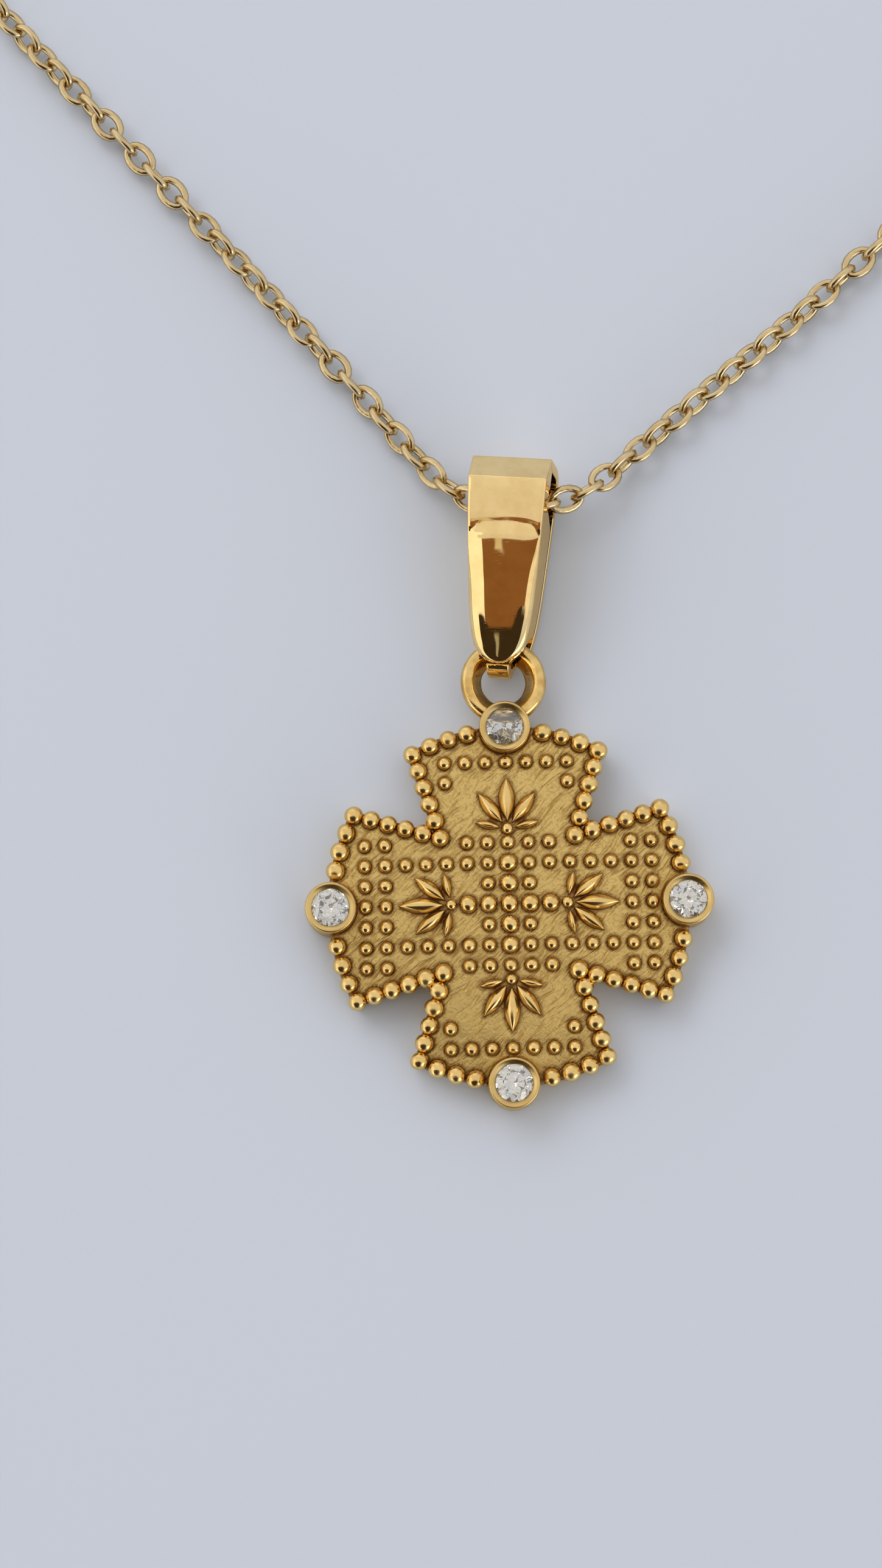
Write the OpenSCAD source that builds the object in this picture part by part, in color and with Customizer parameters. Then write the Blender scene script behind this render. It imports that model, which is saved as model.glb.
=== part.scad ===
// Gold cross on a fine cable chain, lying on its back.
// Millimetres. The origin is on the surface, under the middle of the cross.
// +X points to the right arm, +Y to the bail and the chain, +Z up from the surface.

/* [Cross plate] */
// Distance from the middle of the cross to the middle of each bezel
bezel_reach = 6.58; // [6.4:0.01:6.8]
// Distance from the axes to each bead in an inner corner
inner_corner = 2.49; // [2.4:0.01:2.6]
// Half width of an arm at its outer corner beads
arm_half_width = 3.45; // [3.3:0.01:3.5]
// Distance from the middle to the outer corner beads, along the arm
arm_corner_reach = 5.67; // [5.6:0.01:5.8]
// Radius of the arc that the beads of an arm's end lie on
end_arc_r = 7.4; // [7.3:0.05:7.6]
// How far the plate reaches past the middles of its border beads
plate_margin = 0.17; // [0.1:0.01:0.22]
// Thickness of the plate in the middle
plate_h = 1.5; // [1.4:0.05:1.7]
// Radius of the dome of the front
dome_r = 40; // [35:1:60]

/* [Beads and leaves] */
// Radius of the border beads
border_r = 0.315; // [0.28:0.005:0.32]
// Spaces between beads along an arm's side
side_spaces = 5; // [5:1:5]
// Beads between an outer corner and the bezel
end_beads = 3; // [2:1:3]
// Distance between grains on the ground's grid
grid = 0.757; // [0.74:0.001:0.77]
// Radius of the small grains
grain_r = 0.23; // [0.18:0.01:0.25]
// Radius of the larger beads of the central cross
centre_r = 0.33; // [0.28:0.01:0.35]
// Half length of a palmette's middle leaf
leaf_half = 0.85; // [0.7:0.01:0.86]
// Height of a leaf's ridge above the ground
leaf_ridge = 0.3; // [0.2:0.01:0.32]

/* [Bezels and stones] */
// Outer radius of a bezel
bezel_r = 0.95; // [0.92:0.01:1]
// Height of a bezel's rim above the surface
bezel_h = 1.66; // [1.6:0.01:1.75]
// Radius of the opening that shows the stone
bezel_lip_r = 0.68; // [0.66:0.01:0.7]
// Diameter of a stone
stone_d = 1.5; // [1.46:0.01:1.52]
// Height of a stone's girdle above the surface
girdle_z = 1.48; // [1.44:0.01:1.5]
// Space between a stone and its bezel
stone_gap = 0.03; // [0.02:0.01:0.04]

/* [Loop] */
// Distance from the middle of the cross to the middle of the loop
loop_y = 8.3; // [8.2:0.05:8.4]
// Radius of the loop at the middle of its wire
loop_r = 1.24; // [1.2:0.01:1.3]
// Thickness of the loop's wire
loop_wire = 0.7; // [0.6:0.05:0.7]
// Height of the loop's middle above the surface
loop_z = 1.12; // [1.1:0.01:1.2]

/* [Bail] */
// Length from the middle of the bottom bend to the middle of the bend at the top of the back
bail_l = 6.25; // [6.1:0.05:6.3]
// Outer radius of the bottom bend
bail_bottom_r = 0.95; // [0.94:0.01:0.98]
// Outer radius of the bend at the top of the back
bail_top_r = 0.9; // [0.85:0.05:0.95]
// Angle between the front leaf and the back
bail_open = 12.8; // [12:0.1:13]
// Distance from the middle of the bottom bend to the crease at the top of the front leaf
bail_crease = 6.2; // [6.1:0.05:6.3]
// Thickness of the bail's metal
bail_wall = 0.4; // [0.35:0.01:0.42]
// Gap between the bail's side walls and its back
bail_side_gap = 0.25; // [0.2:0.05:0.6]
// Angle that the bail is turned by, clockwise seen from above
bail_turn = 6.5; // [4:0.5:8]
// Angle that the bail leans by, to its left side
bail_lean = 9; // [0:0.5:9]
// Angle that the bail's top is lifted by
bail_lift = 0.8; // [0.8:0.1:1.5]

/* [Chain and clasp] */
// Width of the chain
chain_w = 1.1; // [0.9:0.05:1.15]
// Outer diameter of the clasp's ring
clasp_d = 5.6; // [5.2:0.1:5.8]
// Thickness of the clasp's ring
clasp_wire = 1.2; // [1:0.05:1.3]
// Outer diameter of the clasp's eye
eye_d = 2.2; // [2.1:0.1:2.3]
// Thickness of the eye's wire
eye_wire = 0.5; // [0.45:0.05:0.55]

/* [Hidden] */

gold = [0.87, 0.69, 0.36];
pale_gold = [0.90, 0.75, 0.44];
clear_stone = [0.90, 0.92, 0.95, 0.8];

// Height of the cross's ground above the surface at x, y
function ground_z(x, y) = plate_h - dome_r + sqrt(dome_r * dome_r - x * x - y * y);

// Side of the upper arm, from the inner corner bead to the outer one
side_a = [inner_corner, inner_corner];
side_b = [arm_half_width, arm_corner_reach];
side_dir = (side_b - side_a) / norm(side_b - side_a);
side_out = [side_dir[1], -side_dir[0]];

// Middle of the arc of an arm's end, found from the outer corner bead
end_mid_y = arm_corner_reach - sqrt(end_arc_r * end_arc_r - arm_half_width * arm_half_width);
end_mid = [0, end_mid_y];
end_corner_angle = asin(arm_half_width / end_arc_r);
bezel_clear_angle = asin((bezel_r + border_r + 0.14) / end_arc_r);
end_step = (end_corner_angle - bezel_clear_angle) / end_beads;

// Outer corner of the plate, where the side meets the arc
plate_r = end_arc_r + plate_margin;
edge_a = side_a + plate_margin * side_out;
edge_b = side_dir * (edge_a - end_mid);
edge_t = -edge_b + sqrt(edge_b * edge_b - (edge_a - end_mid) * (edge_a - end_mid) + plate_r * plate_r);
plate_corner = edge_a + edge_t * side_dir;
plate_corner_angle = asin(plate_corner[0] / plate_r);
// Inner corner of the plate, on the diagonal
plate_inner = inner_corner + plate_margin / (side_dir[1] - side_dir[0]);
end_parts = 12;

function turned(p, a) = [p[0] * cos(a) - p[1] * sin(a), p[0] * sin(a) + p[1] * cos(a)];
// Upper arm's outline, from its right inner corner over its end to the left
function arm_outline() = concat(
    [[plate_inner, plate_inner]],
    [for (i = [0 : end_parts]) let (a = plate_corner_angle * (1 - 2 * i / end_parts))
        end_mid + plate_r * [sin(a), cos(a)]]);
plate_outline = [for (q = [0 : 3]) each [for (p = arm_outline()) turned(p, 90 * q)]];

// Beads of one arm: both sides, both outer corners and the end on both sides of the bezel
arm_beads = concat(
    [for (s = [-1, 1], i = [1 : side_spaces]) let (p = side_a + (side_b - side_a) * i / side_spaces) [s * p[0], p[1]]],
    [for (s = [-1, 1], i = [1 : end_beads]) let (a = end_corner_angle - end_step * i)
        end_mid + end_arc_r * [s * sin(a), cos(a)]]);
border_beads = concat(
    [for (sx = [-1, 1], sy = [-1, 1]) [sx * inner_corner, sy * inner_corner]],
    [for (q = [0 : 3]) each [for (p = arm_beads) turned(p, 90 * q)]]);

// Grains, in steps of the grid: columns that each row holds on both sides of the middle
// Columns: row, first column, last column
grain_rows = [
    [7, 0, 3],
    [6, 3, 3],
    [3, 0, 2], [3, 6, 7],
    [2, 1, 7],
    [1, 1, 1], [1, 6, 7],
    [0, 6, 7]];
function mirrored(p) = [for (sx = p[0] == 0 ? [1] : [-1, 1], sy = p[1] == 0 ? [1] : [-1, 1]) [sx * p[0], sy * p[1]]];
grains = [for (r = grain_rows) each [for (c = [r[1] : r[2]]) each mirrored([c, r[0]] * grid)]];
centre_beads = concat([for (i = [-2 : 2]) [i * grid, 0]], [for (i = [-2, -1, 1, 2]) [0, i * grid]]);

// Palmettes: distance from the middle of the cross to the palmette's root bead
palmette_root_y = 2.78;
palmette_root_x = 2.14;
root_r = 0.22;
// Columns: angle from the arm's direction, part of the middle leaf's length
palmette_leaves = [[0, 1], [38, 0.86], [-38, 0.86], [78, 0.56], [-78, 0.56]];
leaf_start = 0.26;

// How far beads and grains stand above the ground, measured to their middles
bead_lift = 0.07;
grain_lift = 0.04;

module bead(p, r, lift) {
    translate([p[0], p[1], ground_z(p[0], p[1]) + lift]) sphere(r = r, $fn = 20);
}

// A ridged leaf along +Y from its root at the origin, of half length l and ridge height h.
// Its sides bulge and its ridge arches as one minus the square of the distance from its middle.
leaf_parts = 6;
leaf_sink = 0.2;
leaf_width = 0.5;
function leaf_bulge(i) = 1 - pow(2 * i / leaf_parts - 1, 2);
module leaf(l, h) {
    inner = [for (i = [1 : leaf_parts - 1]) i];
    far = 3 * (leaf_parts - 1) + 1;
    points = concat(
        [[0, 0, -leaf_sink]],
        [for (i = inner) let (y = 2 * l * i / leaf_parts, w = leaf_width * l * leaf_bulge(i))
            each [[w, y, -leaf_sink], [0, y, h * leaf_bulge(i)], [-w, y, -leaf_sink]]],
        [[0, 2 * l, -leaf_sink]]);
    faces = concat(
        [[0, 2, 1], [0, 3, 2], [0, 1, 3]],
        [for (i = [0 : leaf_parts - 3]) let (a = 1 + 3 * i, b = a + 3) each [
            [a, a + 1, b + 1], [a, b + 1, b], [a + 1, a + 2, b + 2], [a + 1, b + 2, b + 1],
            [a + 2, a, b], [a + 2, b, b + 2]]],
        [[far, far - 3, far - 2], [far, far - 2, far - 1], [far, far - 1, far - 3]]);
    polyhedron(points = points, faces = faces);
}

// A palmette that points along +Y from its root at x, y
module palmette(x, y, a) {
    translate([x, y, ground_z(x, y)]) rotate([0, 0, a]) {
        translate([0, 0, grain_lift]) sphere(r = root_r, $fn = 20);
        for (row = palmette_leaves)
            rotate([0, 0, -row[0]]) translate([0, leaf_start, 0]) leaf(leaf_half * row[1], leaf_ridge);
    }
}

stone_r = stone_d / 2;
girdle_h = stone_d * 0.03;
crown_h = stone_d * 0.15;
pavilion_h = stone_d * 0.42;
table_r = stone_d * 0.29;
star_r = stone_d * 0.42;
pavilion_star_r = stone_d * 0.2;
seat_r = stone_r + stone_gap;
cup_floor = girdle_z - girdle_h / 2 - pavilion_h - 0.06;

module bezel_body() {
    rotate_extrude($fn = 64) polygon([[0, 0], [bezel_r - 0.08, 0], [bezel_r, 0.1], [bezel_r, bezel_h - 0.16],
        [bezel_r - 0.03, bezel_h - 0.06], [bezel_r - 0.1, bezel_h], [0, bezel_h]]);
}

module bezel_cup() {
    rotate_extrude($fn = 64) polygon([[0, cup_floor], [0.3, cup_floor], [seat_r, girdle_z - 0.12],
        [seat_r, girdle_z + girdle_h / 2 + stone_gap], [bezel_lip_r, girdle_z + 0.13],
        [bezel_lip_r + 0.02, bezel_h - 0.03], [bezel_lip_r + 0.08, bezel_h + 0.1], [0, bezel_h + 0.1]]);
}

module cross() color(gold) {
    difference() {
        union() {
            intersection() {
                linear_extrude(height = plate_h + 1) polygon(plate_outline);
                translate([0, 0, plate_h - dome_r]) sphere(r = dome_r, $fn = 360);
            }
            for (p = border_beads) bead(p, border_r, bead_lift);
            for (p = grains) bead(p, grain_r, grain_lift);
            for (p = centre_beads) bead(p, centre_r, bead_lift);
            palmette(0, palmette_root_y, 0);
            palmette(0, -palmette_root_y, 180);
            palmette(palmette_root_x, 0, -90);
            palmette(-palmette_root_x, 0, 90);
            for (q = [0 : 3]) rotate([0, 0, 90 * q]) translate([0, bezel_reach, 0]) bezel_body();
            translate([0, loop_y, loop_z]) rotate_extrude($fn = 64)
                translate([loop_r, 0]) circle(d = loop_wire, $fn = 32);
        }
        for (q = [0 : 3]) rotate([0, 0, 90 * q]) translate([0, bezel_reach, 0]) bezel_cup();
    }
}

// Round brilliant: 8 table corners, 8 star corners, 16 girdle corners twice, 8 lower star corners, culet.
// The star corners lie in the planes of the kite facets.
star_h = girdle_h / 2 + crown_h * (stone_r - star_r * cos(22.5)) / (stone_r - table_r);
lower_star_h = -girdle_h / 2 - pavilion_h * (stone_r - pavilion_star_r * cos(22.5)) / stone_r;
function ring_points(n, r, z, a) = [for (i = [0 : n - 1]) [r * cos(a + 360 * i / n), r * sin(a + 360 * i / n), z]];
brilliant_points = concat(
    ring_points(8, table_r, girdle_h / 2 + crown_h, 0), ring_points(8, star_r, star_h, 22.5),
    ring_points(16, stone_r, girdle_h / 2, 0), ring_points(16, stone_r, -girdle_h / 2, 0),
    ring_points(8, pavilion_star_r, lower_star_h, 22.5), [[0, 0, -girdle_h / 2 - pavilion_h]]);
star_0 = 8;
girdle_0 = 16;
lower_girdle_0 = 32;
lower_star_0 = 48;
culet = 56;
brilliant_faces = concat(
    [[for (i = [7 : -1 : 0]) i]],
    [for (i = [0 : 7]) [i, (i + 1) % 8, star_0 + i]],
    [for (i = [0 : 7]) [i, star_0 + i, girdle_0 + 2 * i]],
    [for (i = [0 : 7]) [i, girdle_0 + 2 * i, star_0 + (i + 7) % 8]],
    [for (i = [0 : 7]) [star_0 + i, girdle_0 + 2 * i + 1, girdle_0 + 2 * i]],
    [for (i = [0 : 7]) [star_0 + i, girdle_0 + (2 * i + 2) % 16, girdle_0 + 2 * i + 1]],
    [for (i = [0 : 15]) [girdle_0 + i, girdle_0 + (i + 1) % 16, lower_girdle_0 + (i + 1) % 16]],
    [for (i = [0 : 15]) [girdle_0 + i, lower_girdle_0 + (i + 1) % 16, lower_girdle_0 + i]],
    [for (i = [0 : 7]) [lower_star_0 + i, lower_girdle_0 + 2 * i, lower_girdle_0 + 2 * i + 1]],
    [for (i = [0 : 7]) [lower_star_0 + i, lower_girdle_0 + 2 * i + 1, lower_girdle_0 + (2 * i + 2) % 16]],
    [for (i = [0 : 7]) [culet, lower_girdle_0 + 2 * i, lower_star_0 + i]],
    [for (i = [0 : 7]) [culet, lower_star_0 + (i + 7) % 8, lower_girdle_0 + 2 * i]]);

// The stone of the bezel that the upper one reaches by a turn of a, itself turned by spin
module stone(a, spin) color(clear_stone) {
    rotate([0, 0, a]) translate([0, bezel_reach, girdle_z]) rotate([0, 0, spin])
        polyhedron(points = brilliant_points, faces = brilliant_faces);
}
module stone_top() stone(0, 4);
module stone_right() stone(-90, 11);
module stone_bottom() stone(180, -7);
module stone_left() stone(90, 17);

// Bail, seen from its side: along +X its length from the bottom bend, along +Y its depth.
// A flat back, a round bend at the top of the back, a creased facet at the top of the front, a flat
// front leaf and a round bend at the bottom. The back lies at the same depth all along.
bend_steps = 7;
back_mid = [bail_l, bail_top_r - bail_bottom_r];
facet_depth = 1.5;
function arc(mid, r, a0, a1, n) = [for (i = [0 : n]) let (a = a0 + (a1 - a0) * i / n) mid + r * [cos(a), sin(a)]];
// A side is a direction that it faces and its distance from the bottom bend's middle
function meet(n, c, m, e) = [c * m[1] - e * n[1], n[0] * e - m[0] * c] / (n[0] * m[1] - n[1] * m[0]);
front_out = [-sin(bail_open), cos(bail_open)];
top_out = [1, 0];
top_reach = bail_l + bail_top_r;
crease = meet(front_out, bail_bottom_r, top_out, bail_crease);
facet_out = [crease[1] - facet_depth, top_reach - crease[0]] / norm([top_reach, facet_depth] - crease);
function bail_side(d) = concat(
    arc([0, 0], bail_bottom_r - d, 90 + bail_open, 270, 2 * bend_steps),
    arc(back_mid, bail_top_r - d, 270, 360, bend_steps),
    [meet(top_out, top_reach - d, facet_out, facet_out * crease - d),
     meet(facet_out, facet_out * crease - d, front_out, bail_bottom_r - d)]);

// Half widths of the bail. Columns: distance from the bottom bend's middle, half width
bail_widths = [
    [-1.2, 0.41], [-0.62, 0.42], [-0.46, 0.45], [-0.32, 0.58], [-0.12, 0.79], [0.1, 0.93], [0.5, 1.06], [1.6, 1.22],
    [4, 1.36], [6.1, 1.46], [7.4, 1.5]];
function bail_outline(d) = concat(
    [for (r = bail_widths) [r[1] - d, r[0]]],
    [for (i = [len(bail_widths) - 1 : -1 : 0]) [d - bail_widths[i][1], bail_widths[i][0]]]);
bail_half = 1.7;
// The bottom bend's middle lies this far beside and below the middle of the loop's wire
bail_x = -0.04;
bail_drop = 0.15;

// Turns a side view into a prism across the bail: X becomes the length along +Y, Y the depth along +Z
module across(half) {
    rotate([90, 0, 90]) translate([0, 0, -half]) linear_extrude(height = 2 * half) children();
}

module bail() color(pale_gold) {
    translate([bail_x, loop_y + loop_r - bail_drop, loop_z]) rotate([0, 0, -bail_turn]) rotate([bail_lift, 0, 0])
        rotate([0, -bail_lean, 0]) difference() {
            intersection() {
                across(bail_half) polygon(bail_side(0));
                translate([0, 0, -2]) linear_extrude(height = 6) polygon(bail_outline(0));
            }
            difference() {
                across(bail_half + 1) polygon(bail_side(bail_wall));
                bail_edges();
            }
        }
}

// Free edge of the side walls: from near the bottom bend along the back, then up and over the chain to the top.
// Columns: distance from the bottom bend's middle, depth
wall_foot = bail_side_gap + bail_wall - bail_bottom_r;
wall_edge = [[0.7, wall_foot], [4.85, wall_foot], [5.3, 0.9], [5.5, 1.15], [top_reach, 1.15]];
edge_wall = 0.3;
// The front leaf's side walls: the band between the bail's outline and a narrower one, as far as the free edge
module bail_edges() {
    difference() {
        across(bail_half) polygon(concat(wall_edge, [[top_reach, 4], [wall_edge[0][0], 4]]));
        translate([0, 0, -3]) linear_extrude(height = 8) polygon(bail_outline(edge_wall));
    }
}

// The chain's route, from the clasp down the left strand, through the bail and up the right strand
chain_z = chain_w / 2;
route = [
    [6.8, 177, 0.55], [-4, 175, 0.55], [-20, 170, 0.55], [-34, 161.5, 0.55], [-46, 150, 0.55], [-54.5, 136, 0.55],
    [-59, 120, 0.55], [-60, 105, 0.55], [-57.5, 91, 0.55], [-51.5, 77.5, 0.55], [-43, 65.5, 0.55],
    [-32, 51.5, 0.55], [-24.5, 42.1, 0.55], [-18.7, 35.1, 0.55], [-13.5, 29.2, 0.55], [-9, 24.1, 0.55],
    [-5.2, 19.7, 0.55], [-3.3, 17.5, 0.56], [-2.2, 16.3, 0.78], [-0.9, 15.4, 1.14], [0.6, 15.1, 1.34],
    [2, 15, 1.54], [3.2, 15.4, 1.36], [4.6, 16.5, 0.84], [6, 17.7, 0.56], [8.7, 19.9, 0.55], [11.7, 22.3, 0.55],
    [14.6, 24.8, 0.55], [20, 29.4, 0.55], [27, 35.5, 0.55], [36, 43.5, 0.55], [47, 54.5, 0.55], [57.5, 66, 0.55],
    [67, 79, 0.55], [73, 93, 0.55], [75.5, 107, 0.55], [74.5, 121, 0.55], [70, 136, 0.55], [62, 150, 0.55],
    [50, 162.5, 0.55], [36, 171, 0.55], [23, 175.7, 0.55], [14.7, 177, 0.55]];
route_steps = 2;
tube_sides = 8;
last = len(route) - 1;
// Smooth curve through the route's points
function route_point(i) = route[max(0, min(last, i))];
function spline(a, b, c, d, t) =
    0.5 * (2 * b + (c - a) * t + (2 * a - 5 * b + 4 * c - d) * t * t + (3 * b - a - 3 * c + d) * t * t * t);
function on_surface(p) = [p[0], p[1], max(chain_z, p[2])];
path = concat(
    [for (i = [0 : last - 1], k = [0 : route_steps - 1]) on_surface(
        spline(route_point(i - 1), route_point(i), route_point(i + 1), route_point(i + 2), k / route_steps))],
    [route[last]]);
function unit(v) = v / norm(v);
function path_dir(i) = unit(path[min(len(path) - 1, i + 1)] - path[max(0, i - 1)]);
tube_r = chain_z / cos(180 / tube_sides);
function tube_ring(i) =
    let (t = path_dir(i), side = unit([-t[1], t[0], 0]), up = cross(t, side))
    [for (k = [0 : tube_sides - 1]) let (a = (k + 0.5) * 360 / tube_sides)
        path[i] + tube_r * (cos(a) * side + sin(a) * up)];

module chain() color(pale_gold) {
    rings = len(path);
    polyhedron(
        points = [for (i = [0 : rings - 1]) each tube_ring(i)],
        faces = concat(
            [[for (k = [0 : tube_sides - 1]) k]],
            [[for (k = [tube_sides - 1 : -1 : 0]) (rings - 1) * tube_sides + k]],
            [for (i = [0 : rings - 2], k = [0 : tube_sides - 1]) let (n = (k + 1) % tube_sides)
                [i * tube_sides + n, i * tube_sides + k, (i + 1) * tube_sides + k]],
            [for (i = [0 : rings - 2], k = [0 : tube_sides - 1]) let (n = (k + 1) % tube_sides)
                [i * tube_sides + n, (i + 1) * tube_sides + k, (i + 1) * tube_sides + n]]));
}

// Clasp: its ring lies between the chain's ends, its eye on the right
clasp_mid = [9.8, 177];
clasp_r = (clasp_d - clasp_wire) / 2;
eye_r = (eye_d - eye_wire) / 2;
module clasp() color(gold) {
    translate([clasp_mid[0], clasp_mid[1], clasp_wire / 2])
        rotate_extrude($fn = 72) translate([clasp_r, 0]) circle(d = clasp_wire, $fn = 48);
    translate([clasp_mid[0] + clasp_d / 2 + eye_r - 0.1, clasp_mid[1], clasp_wire / 2])
        rotate_extrude($fn = 72) translate([eye_r, 0]) circle(d = eye_wire, $fn = 48);
}

cross();
stone_top();
stone_right();
stone_bottom();
stone_left();
bail();
chain();
clasp();
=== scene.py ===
"""Gold cross pendant on a cable chain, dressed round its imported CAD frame.

Lengths are metres in Blender and millimetres in the tables below. +X points to the cross's right arm,
+Y to the bail and the chain, +Z up from the surface that the necklace lies on.
"""

import math

import bpy
import numpy as np
from bpy.props import FloatProperty, FloatVectorProperty, IntProperty, PointerProperty
from mathutils import Matrix, Vector, noise
from mathutils.geometry import delaunay_2d_cdt


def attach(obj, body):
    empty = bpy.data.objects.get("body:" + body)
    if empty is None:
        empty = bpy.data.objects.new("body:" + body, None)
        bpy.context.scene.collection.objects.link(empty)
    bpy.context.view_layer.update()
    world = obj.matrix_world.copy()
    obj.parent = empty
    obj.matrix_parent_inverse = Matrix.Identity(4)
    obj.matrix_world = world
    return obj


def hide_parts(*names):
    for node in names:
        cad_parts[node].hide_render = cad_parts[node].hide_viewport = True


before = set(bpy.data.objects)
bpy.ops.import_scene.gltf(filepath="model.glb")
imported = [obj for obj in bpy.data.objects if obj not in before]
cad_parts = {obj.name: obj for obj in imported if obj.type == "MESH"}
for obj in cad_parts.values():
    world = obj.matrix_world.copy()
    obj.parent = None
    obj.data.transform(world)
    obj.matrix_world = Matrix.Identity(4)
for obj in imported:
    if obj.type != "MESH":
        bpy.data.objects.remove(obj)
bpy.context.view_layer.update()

bl_info = {
    "name": "Cross Necklace",
    "version": (1, 0, 0),
    "blender": (4, 5, 0),
    "location": "View3D > Sidebar > Necklace",
    "description": "Builds a beaded gold cross with its stones, bail and cable chain",
    "category": "Add Mesh",
}

MM = 0.001

# Sizes that a user may change


def length(name, text, mm, low=None, high=None):
    return FloatProperty(name=name, description=text, default=mm * MM, precision=6, unit="LENGTH",
                         min=(low if low is not None else mm / 3) * MM,
                         max=(high if high is not None else mm * 3) * MM)


def share(name, text, default, low=0.0, high=1.0):
    return FloatProperty(name=name, description=text, default=default, min=low, max=high, subtype="FACTOR")


def tone(name, text, rgb):
    return FloatVectorProperty(name=name, description=text, default=rgb, min=0, max=1, subtype="COLOR")


class CrossSizes(bpy.types.PropertyGroup):
    bead_radius: length("Border bead", "Radius of the beads along the border", 0.352)
    grain_radius: length("Grain", "Radius of the small grains on the ground", 0.24)
    centre_radius: length("Centre bead", "Radius of the larger beads of the central cross", 0.33)
    leaf_length: length("Leaf", "Half length of a palmette's middle leaf", 0.85)
    leaf_ridge: length("Leaf ridge", "Height of a leaf's ridge above the ground", 0.3)
    unevenness: share("Unevenness", "How far the cast beads depart from true spheres", 0.09, 0, 0.2)
    ground_step: length("Ground mesh", "Spacing of the mesh points on the cross's ground", 0.1, 0.06, 0.4)
    mark_depth: length("Tool marks", "Depth of the tool marks on the ground", 0.03, 0, 0.1)


class BailSizes(bpy.types.PropertyGroup):
    wall: length("Wall", "Thickness of the bail's sheet", 0.4)
    shoulder: length("Shoulder", "Width of the rounded shoulders of the front leaf", 0.64)
    shoulder_drop: length("Shoulder drop", "How far the shoulders fall to the front leaf's sides", 0.3)
    bow: length("Bow", "How far the front leaf is bowed along its length", 0.09, 0, 0.2)


class ChainSizes(bpy.types.PropertyGroup):
    links: IntProperty(name="Links", description="Number of links in the chain", default=481, min=10, max=900)
    link_length: length("Link length", "Outer length of a link", 1.5)
    link_width: length("Link width", "Outer width of a link", 1.1)
    wire: length("Wire", "Thickness of the chain's wire", 0.28)
    roll: FloatProperty(name="Roll", description="How far the chain turns about its own line, to each side",
                        default=math.radians(36), min=0, max=math.pi, subtype="ANGLE")
    seed: IntProperty(name="Seed", description="Seed of the chain's small irregularities", default=7)


class ClaspSizes(bpy.types.PropertyGroup):
    ring_diameter: length("Clasp", "Outer diameter of the clasp's ring", 5.32)
    tube: length("Clasp tube", "Thickness of the clasp's ring", 0.92)
    eye_diameter: length("Eye", "Outer diameter of the clasp's eye", 2.13)
    eye_wire: length("Eye's wire", "Thickness of the clasp's eye", 0.43)
    jump_ring: length("Jump ring", "Outer diameter of the jump ring at the chain's other end", 2.3)
    jump_wire: length("Jump ring's wire", "Thickness of the jump ring", 0.26)


class Finish(bpy.types.PropertyGroup):
    cast_gold: tone("Cast gold", "Colour of the polished beads and leaves", (0.9, 0.66, 0.29))
    ground_gold: tone("Ground", "Colour of the cross's satin ground", (0.76, 0.56, 0.22))
    polished_gold: tone("Polished gold", "Colour of the bail and the clasp", (0.98, 0.75, 0.38))
    chain_gold: tone("Chain gold", "Colour of the chain", (0.73, 0.585, 0.355))
    # Painted shade: colour of the shade painted in the hollows of the ground, at the feet on the cross and on
    # the loop's inner side
    hollow: tone("Hollows", "Colour that gathers in the hollows", (0.16, 0.055, 0.014))
    wear: share("Wear", "Strength of the fine scratches on polished metal", 0.5)


class StageSettings(bpy.types.PropertyGroup):
    floor: tone("Floor", "Colour of the floor", (0.65, 0.72, 0.89))
    sky: tone("Sky", "Colour of the soft light all round", (0.97, 0.98, 1.0))
    strength: FloatProperty(name="Strength", description="Strength of the soft light", default=1.0,
                            min=0, max=10)


GROUPS = {"necklace_cross": CrossSizes, "necklace_bail": BailSizes, "necklace_chain": ChainSizes,
          "necklace_clasp": ClaspSizes, "necklace_finish": Finish, "necklace_stage": StageSettings}


# Node building


def put(tree, kind, args=(), settings=None, **named):
    """Adds a node. args fill its inputs in order, named ones by name; a socket is linked, a value is set."""
    node = tree.nodes.new(kind)
    for key, value in (settings or {}).items():
        setattr(node, key, value)
    pairs = list(zip(node.inputs, args)) + [(node.inputs[k.replace("_", " ")], v) for k, v in named.items()]
    for socket, value in pairs:
        if isinstance(value, bpy.types.NodeSocket):
            tree.links.new(value, socket)
        elif value is not None:
            socket.default_value = value
    return node


def calc(tree, operation, first, *rest):
    """Result of an operation on one or two values, or on more, taken in one after the other."""
    for value in rest or (None,):
        first = put(tree, "ShaderNodeMath", (first, value), {"operation": operation}).outputs[0]
    return first


def vector_calc(tree, operation, *args):
    node = put(tree, "ShaderNodeVectorMath", args, {"operation": operation})
    return node.outputs["Value" if operation in ("DOT_PRODUCT", "LENGTH") else "Vector"]


def fade(tree, value, start, end, low=0.0, high=1.0):
    """Smooth step of value from start to end."""
    return put(tree, "ShaderNodeMapRange", (value, start, end, low, high),
               {"interpolation_type": "SMOOTHSTEP"}).outputs[0]


def blend(tree, factor, a, b):
    """Mix of the colours a and b; a factor of 1 gives b."""
    node = tree.nodes.new("ShaderNodeMix")
    node.data_type = "RGBA"
    for socket, value in ((node.inputs[0], factor), (node.inputs[6], a), (node.inputs[7], b)):
        if isinstance(value, bpy.types.NodeSocket):
            tree.links.new(value, socket)
        else:
            socket.default_value = value if isinstance(value, float) else (*value[:3], 1.0)
    return node.outputs[2]


def noise_value(tree, vector, scale, detail=2.0, roughness=0.5):
    return put(tree, "ShaderNodeTexNoise", (), Vector=vector, Scale=scale, Detail=detail,
               Roughness=roughness).outputs["Fac"]


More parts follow.
